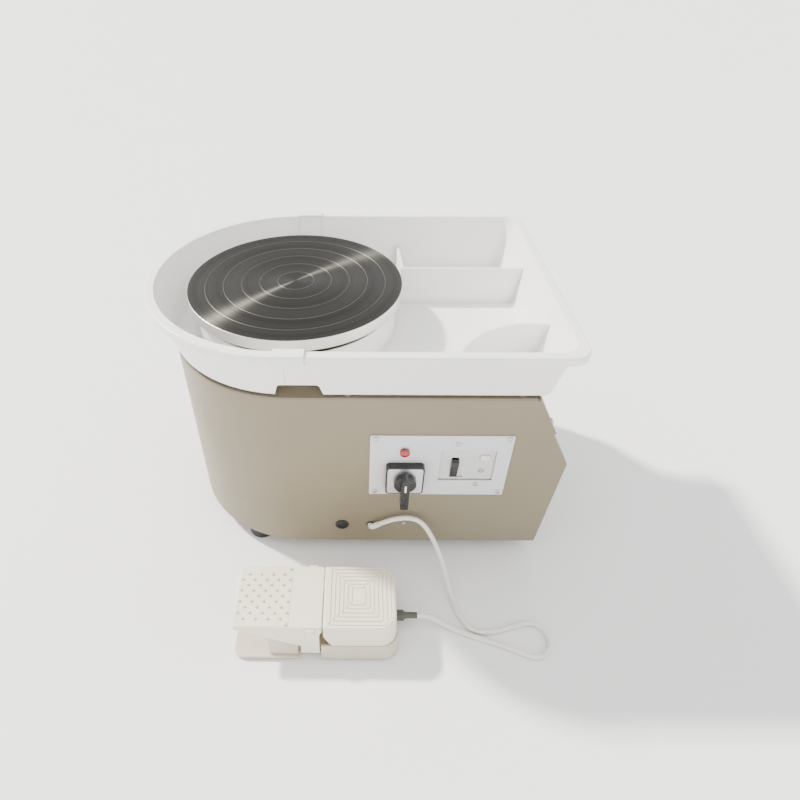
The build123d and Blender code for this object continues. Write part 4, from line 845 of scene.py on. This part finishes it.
@dataclass
class Cabinet:
    """Sheet steel cabinet, its deck, feet and the small things screwed to it."""

    foot_spots: tuple[tuple[str, float, float], ...] = (
        ("foot_front_left", -61.0, -125.7),
        ("foot_front_right", 296.0, -104.0),
        ("foot_back_left", -61.0, 125.7),
        ("foot_back_right", 296.0, 104.0),
    )

    def build(self) -> None:
        """Make the cabinet."""
        refined("body_shell", CABINET_COAT, "cabinet_wrap", edge=0.4)
        refined("end_panel", CABINET_COAT, "folded_end", edge=0.4)
        refined("end_cover", CABINET_COAT, "end_cover_plate", edge=0.8)
        refined("deck", DECK_COAT, "deck_plate", edge=0.5)
        refined("bottom_plate", CABINET_COAT, "underside_plate", edge=0.4)
        for node, x, y in self.foot_spots:
            self.foot(node, x, y)
        for node in ("end_cover_screws", "deck_screws", "foot_screws", "front_screw"):
            refined(node, SCREW_ZINC, edge=0.15)
        refined("blanking_plug", SWITCH_BLACK, "hole_plug", edge=0.2)
        refined("mains_inlet", SWITCH_BLACK, "inlet_socket", edge=0.3)

    def foot(self, node: str, x: float, y: float) -> None:
        """Turn one rubber foot with a recess for its screw."""
        corners = [
            (3.2, 24.0, 0.0), (17.0, 24.0, 1.2), (20.0, 1.6, 1.2), (18.4, 0.0, 1.0),
            (14.0, 0.0, 0.5), (13.2, 0.9, 0.3), (9.6, 0.9, 0.3), (8.8, 0.0, 0.5),
            (7.5, 0.0, 0.5), (7.5, 8.0, 0.5), (3.2, 8.0, 0.0), (3.2, 24.0, 0.0),
        ]
        profile = rounded_profile(corners)
        spot = (x * MM, y * MM, FLOOR_Z)
        piece = turned(node + "_rubber", profile, FOOT_RUBBER, spot, segments=64)
        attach(piece, "cabinet")
        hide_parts(node)


# ------------------------------------------------------------------------------ the drive


@dataclass
class Drive:
    """Bearings, motor, belt and controller, inside the cabinet."""

    def build(self) -> None:
        """Dress the drive's parts."""
        dress(["bearing_housing"], HOUSING_IRON)
        dress(["bearing_upper", "bearing_lower"], BEARING_METAL)
        dress(["housing_bolts"], SCREW_ZINC)
        dress(["drive_belt"], BELT_RUBBER)
        dress(["motor_body"], MOTOR_PAINT)
        dress(["motor_bracket"], BRACKET_ZINC)
        dress(["motor_shaft"], SHAFT_METAL)
        dress(["motor_pulley"], HUB_METAL)
        dress(["controller_heat_sink"], HEAT_SINK)
        dress(["controller_cover"], SWITCH_BLACK)


# ------------------------------------------------------------------------------ the controls


@dataclass
class Controls:
    """Panel, lamp, cam switch and circuit breaker."""

    panel_y: float = -165.5
    lamp_x: float = 141.2
    lamp_height: float = 207.5

    def build(self) -> None:
        """Make the controls."""
        refined("control_panel", PANEL_FACE, "panel_plate", edge=0.3)
        refined("panel_screws", SCREW_ZINC, edge=0.15)
        refined("breaker_screws", SCREW_ZINC, edge=0.15)
        self.lamp()
        dress(["switch_body", "breaker_body"], SWITCH_BLACK)
        refined("switch_frame", SWITCH_BLACK, "switch_surround", edge=0.4)
        refined("switch_label", SILVER_LABEL, "switch_plate", edge=0.15)
        refined("switch_knob", KNOB_BLACK, "switch_lever", edge=0.7)
        refined("switch_marker", MARKER_WHITE, "lever_line", edge=0.1)
        refined("breaker_face", BREAKER_GREY, "breaker_front", edge=0.3)
        refined("breaker_toggle", KNOB_BLACK, "breaker_rocker_cap", edge=0.5)
        refined("breaker_test_button", BUTTON_CREAM, "breaker_button_cap", edge=0.3)

    def lamp(self) -> None:
        """Turn the lamp's domed lens and its bezel."""
        face = self.panel_y
        lens = [
            (0.0, -5.4, 0.0), (3.0, -5.4, 2.0), (6.6, -4.0, 2.6), (6.7, -0.8, 0.3),
            (0.0, -0.8, 0.0),
        ]
        spot = (self.lamp_x * MM, face * MM, level(self.lamp_height))
        piece = turned("lamp_dome", rounded_profile(lens, 8), LAMP_RED, spot, Axis.Y, 48, 50.0)
        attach(piece, "cabinet")
        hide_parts("lamp_lens")
        refined("lamp_holder", CHROMED, "lamp_bezel", edge=0.25)


# ------------------------------------------------------------------------------ the foot pedal


@dataclass
class FootPedal:
    """Base, fixed cover, treadle and what turns them."""

    def build(self) -> None:
        """Make the pedal."""
        refined("pedal_base", PEDAL_BASE_PLASTIC, "pedal_tub", edge=0.5)
        refined(
            "pedal_cover", PEDAL_PLASTIC, "pedal_fixed_cover", edge=0.25, merge_flats=False
        )
        refined(
            "pedal_treadle", PEDAL_PLASTIC, "pedal_treadle_plate", edge=0.25, merge_flats=False
        )
        refined("pedal_pads", FOOT_RUBBER, edge=0.3)
        refined("pedal_screws", SCREW_ZINC, edge=0.15)
        dress(["pedal_hinge_pin"], SHAFT_METAL)
        dress(["pedal_spring"], SPRING_WIRE)
        dress(["pedal_sensor_board"], CIRCUIT_GREEN)


# ------------------------------------------------------------------------------ the pedal's lead


@dataclass
class PedalLead:
    """The white lead from the sleeve in the cabinet's front to the pedal."""

    diameter: float = 6.6
    route: tuple[Point, ...] = (
        (112.5, -170.4, 68.6),
        (125.7, -171.1, 78.0),
        (140.0, -171.6, 83.4),
        (155.0, -172.2, 85.4),
        (168.5, -173.6, 80.0),
        (178.5, -177.0, 68.5),
        (187.5, -183.5, 54.0),
        (195.5, -193.0, 39.0),
        (202.0, -206.0, 24.0),
        (207.0, -222.5, 11.5),
        (211.0, -241.5, 3.9),
        (215.5, -259.5, 3.5),
        (220.5, -273.5, 3.5),
        (234.0, -290.4, 3.5),
        (257.4, -290.8, 3.5),
        (281.0, -284.2, 3.5),
        (309.8, -276.0, 3.5),
        (325.6, -284.4, 3.5),
        (331.3, -301.4, 3.5),
        (323.6, -317.6, 3.5),
        (306.8, -323.9, 3.5),
        (286.0, -314.9, 3.5),
        (264.5, -306.2, 3.5),
        (243.0, -299.3, 3.5),
        (222.5, -292.6, 3.5),
        (204.0, -284.6, 3.9),
        (188.0, -278.6, 9.0),
        (174.5, -274.4, 15.0),
        (161.0, -274.4, 15.0),
    )
    length: float = 0.531

    def build(self) -> None:
        """Make the lead, and dress its grommet, its sleeve and the pedal's gland."""
        curve = bpy.data.curves.new("pedal_lead", "CURVE")
        curve.dimensions = "3D"
        curve.bevel_depth = self.diameter / 2 * MM
        curve.bevel_resolution = 5
        curve.resolution_u = 10
        curve.use_fill_caps = True
        spline = curve.splines.new("NURBS")
        spline.points.add(len(self.route) - 1)
        table = np.array(self.route)
        rows = np.column_stack(
            [table[:, 0] * MM, table[:, 1] * MM, FLOOR_Z + table[:, 2] * MM, np.ones(len(table))]
        )
        spline.points.foreach_set("co", rows.ravel())
        spline.order_u = 3
        spline.use_endpoint_u = True
        curve.materials.append(WHITE_JACKET.build())
        lead = bpy.data.objects.new("pedal_lead", curve)
        bpy.context.scene.collection.objects.link(lead)
        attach(lead, "cabinet")
        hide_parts("pedal_cord")
        refined("cord_gland", SWITCH_BLACK, "cabinet_grommet", sharp_degrees=40.0)
        refined("cord_sleeve", WHITE_JACKET, "lead_sleeve", sharp_degrees=60.0)
        refined("pedal_gland", GREY_GLAND, "pedal_strain_relief", edge=0.3)


# ------------------------------------------------------------------------------ the studio


@dataclass
class Studio:
    """Pale floor, soft light and the camera."""

    camera_place: Point = (0.0815, -0.6626, 0.3641)
    camera_tilt: float = 51.48
    camera_turn: float = 0.4
    lens: float = 25.53
    shift: tuple[float, float] = (0.0572, -0.0278)
    sun_travel: Point = (1.0, -0.58, -1.0)
    sun_strength: float = 8.0
    sun_spread: float = 4.0
    sky: str = "#FFFFFF"
    sky_strength: float = 1.75
    floor_reach: float = 9.0
    floor_lines: int = 41
    floor_gap: float = 1e-6

    def build(self) -> None:
        """Set the stage."""
        self.floor()
        self.camera()
        self.lights()

    def floor(self) -> None:
        """Lay a flat sheet of studio paper, its grid closer under the object."""
        across = np.linspace(-1, 1, self.floor_lines) ** 3 * self.floor_reach
        x, y = np.meshgrid(across, across, indexing="ij")
        z = np.full_like(x, FLOOR_Z - self.floor_gap)
        points = np.stack([x, y, z], axis=-1).reshape(-1, 3)
        faces = grid_faces(self.floor_lines, self.floor_lines, False, False)
        sheet = put_mesh("studio_floor", points, faces, STUDIO_FLOOR)

    def camera(self) -> None:
        """Place the camera."""
        data = bpy.data.cameras.new("view")
        data.lens = self.lens
        data.sensor_width = 36.0
        data.shift_x, data.shift_y = self.shift
        data.clip_start = 0.01
        view = bpy.data.objects.new("view", data)
        view.location = self.camera_place
        view.rotation_euler = (math.radians(self.camera_tilt), 0.0, math.radians(self.camera_turn))
        bpy.context.scene.collection.objects.link(view)
        bpy.context.scene.camera = view

    def lights(self) -> None:
        """Add a soft sun from behind on the left and an even pale surround."""
        data = bpy.data.lights.new("key", "SUN")
        data.energy = self.sun_strength
        data.angle = math.radians(self.sun_spread)
        data.color = (1.0, 0.965, 0.91)
        key = bpy.data.objects.new("key", data)
        travel = np.array(self.sun_travel) / np.linalg.norm(self.sun_travel)
        tilt = math.acos(-travel[2])
        turn = math.atan2(travel[1], travel[0])
        key.rotation_euler = (0.0, -tilt, turn)
        bpy.context.scene.collection.objects.link(key)
        world = bpy.data.worlds.new("surround")
        world.use_nodes = True
        back = world.node_tree.nodes["Background"]
        back.inputs["Color"].default_value = linear(self.sky)
        back.inputs["Strength"].default_value = self.sky_strength
        bpy.context.scene.world = world


FRAME: dict[str, Any] = {}


def main() -> None:
    """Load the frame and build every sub-assembly in order."""
    logging.basicConfig(level=logging.INFO, format="%(name)s: %(message)s")
    FRAME.update(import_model())
    stages: tuple[Callable[[], None], ...] = (
        Studio().build,
        PedalLead().build,
        WheelHead().build,
        SplashTray().build,
        Cabinet().build,
        Drive().build,
        Controls().build,
        FootPedal().build,
    )
    for stage in stages:
        stage()


if __name__ == "__main__":
    main()
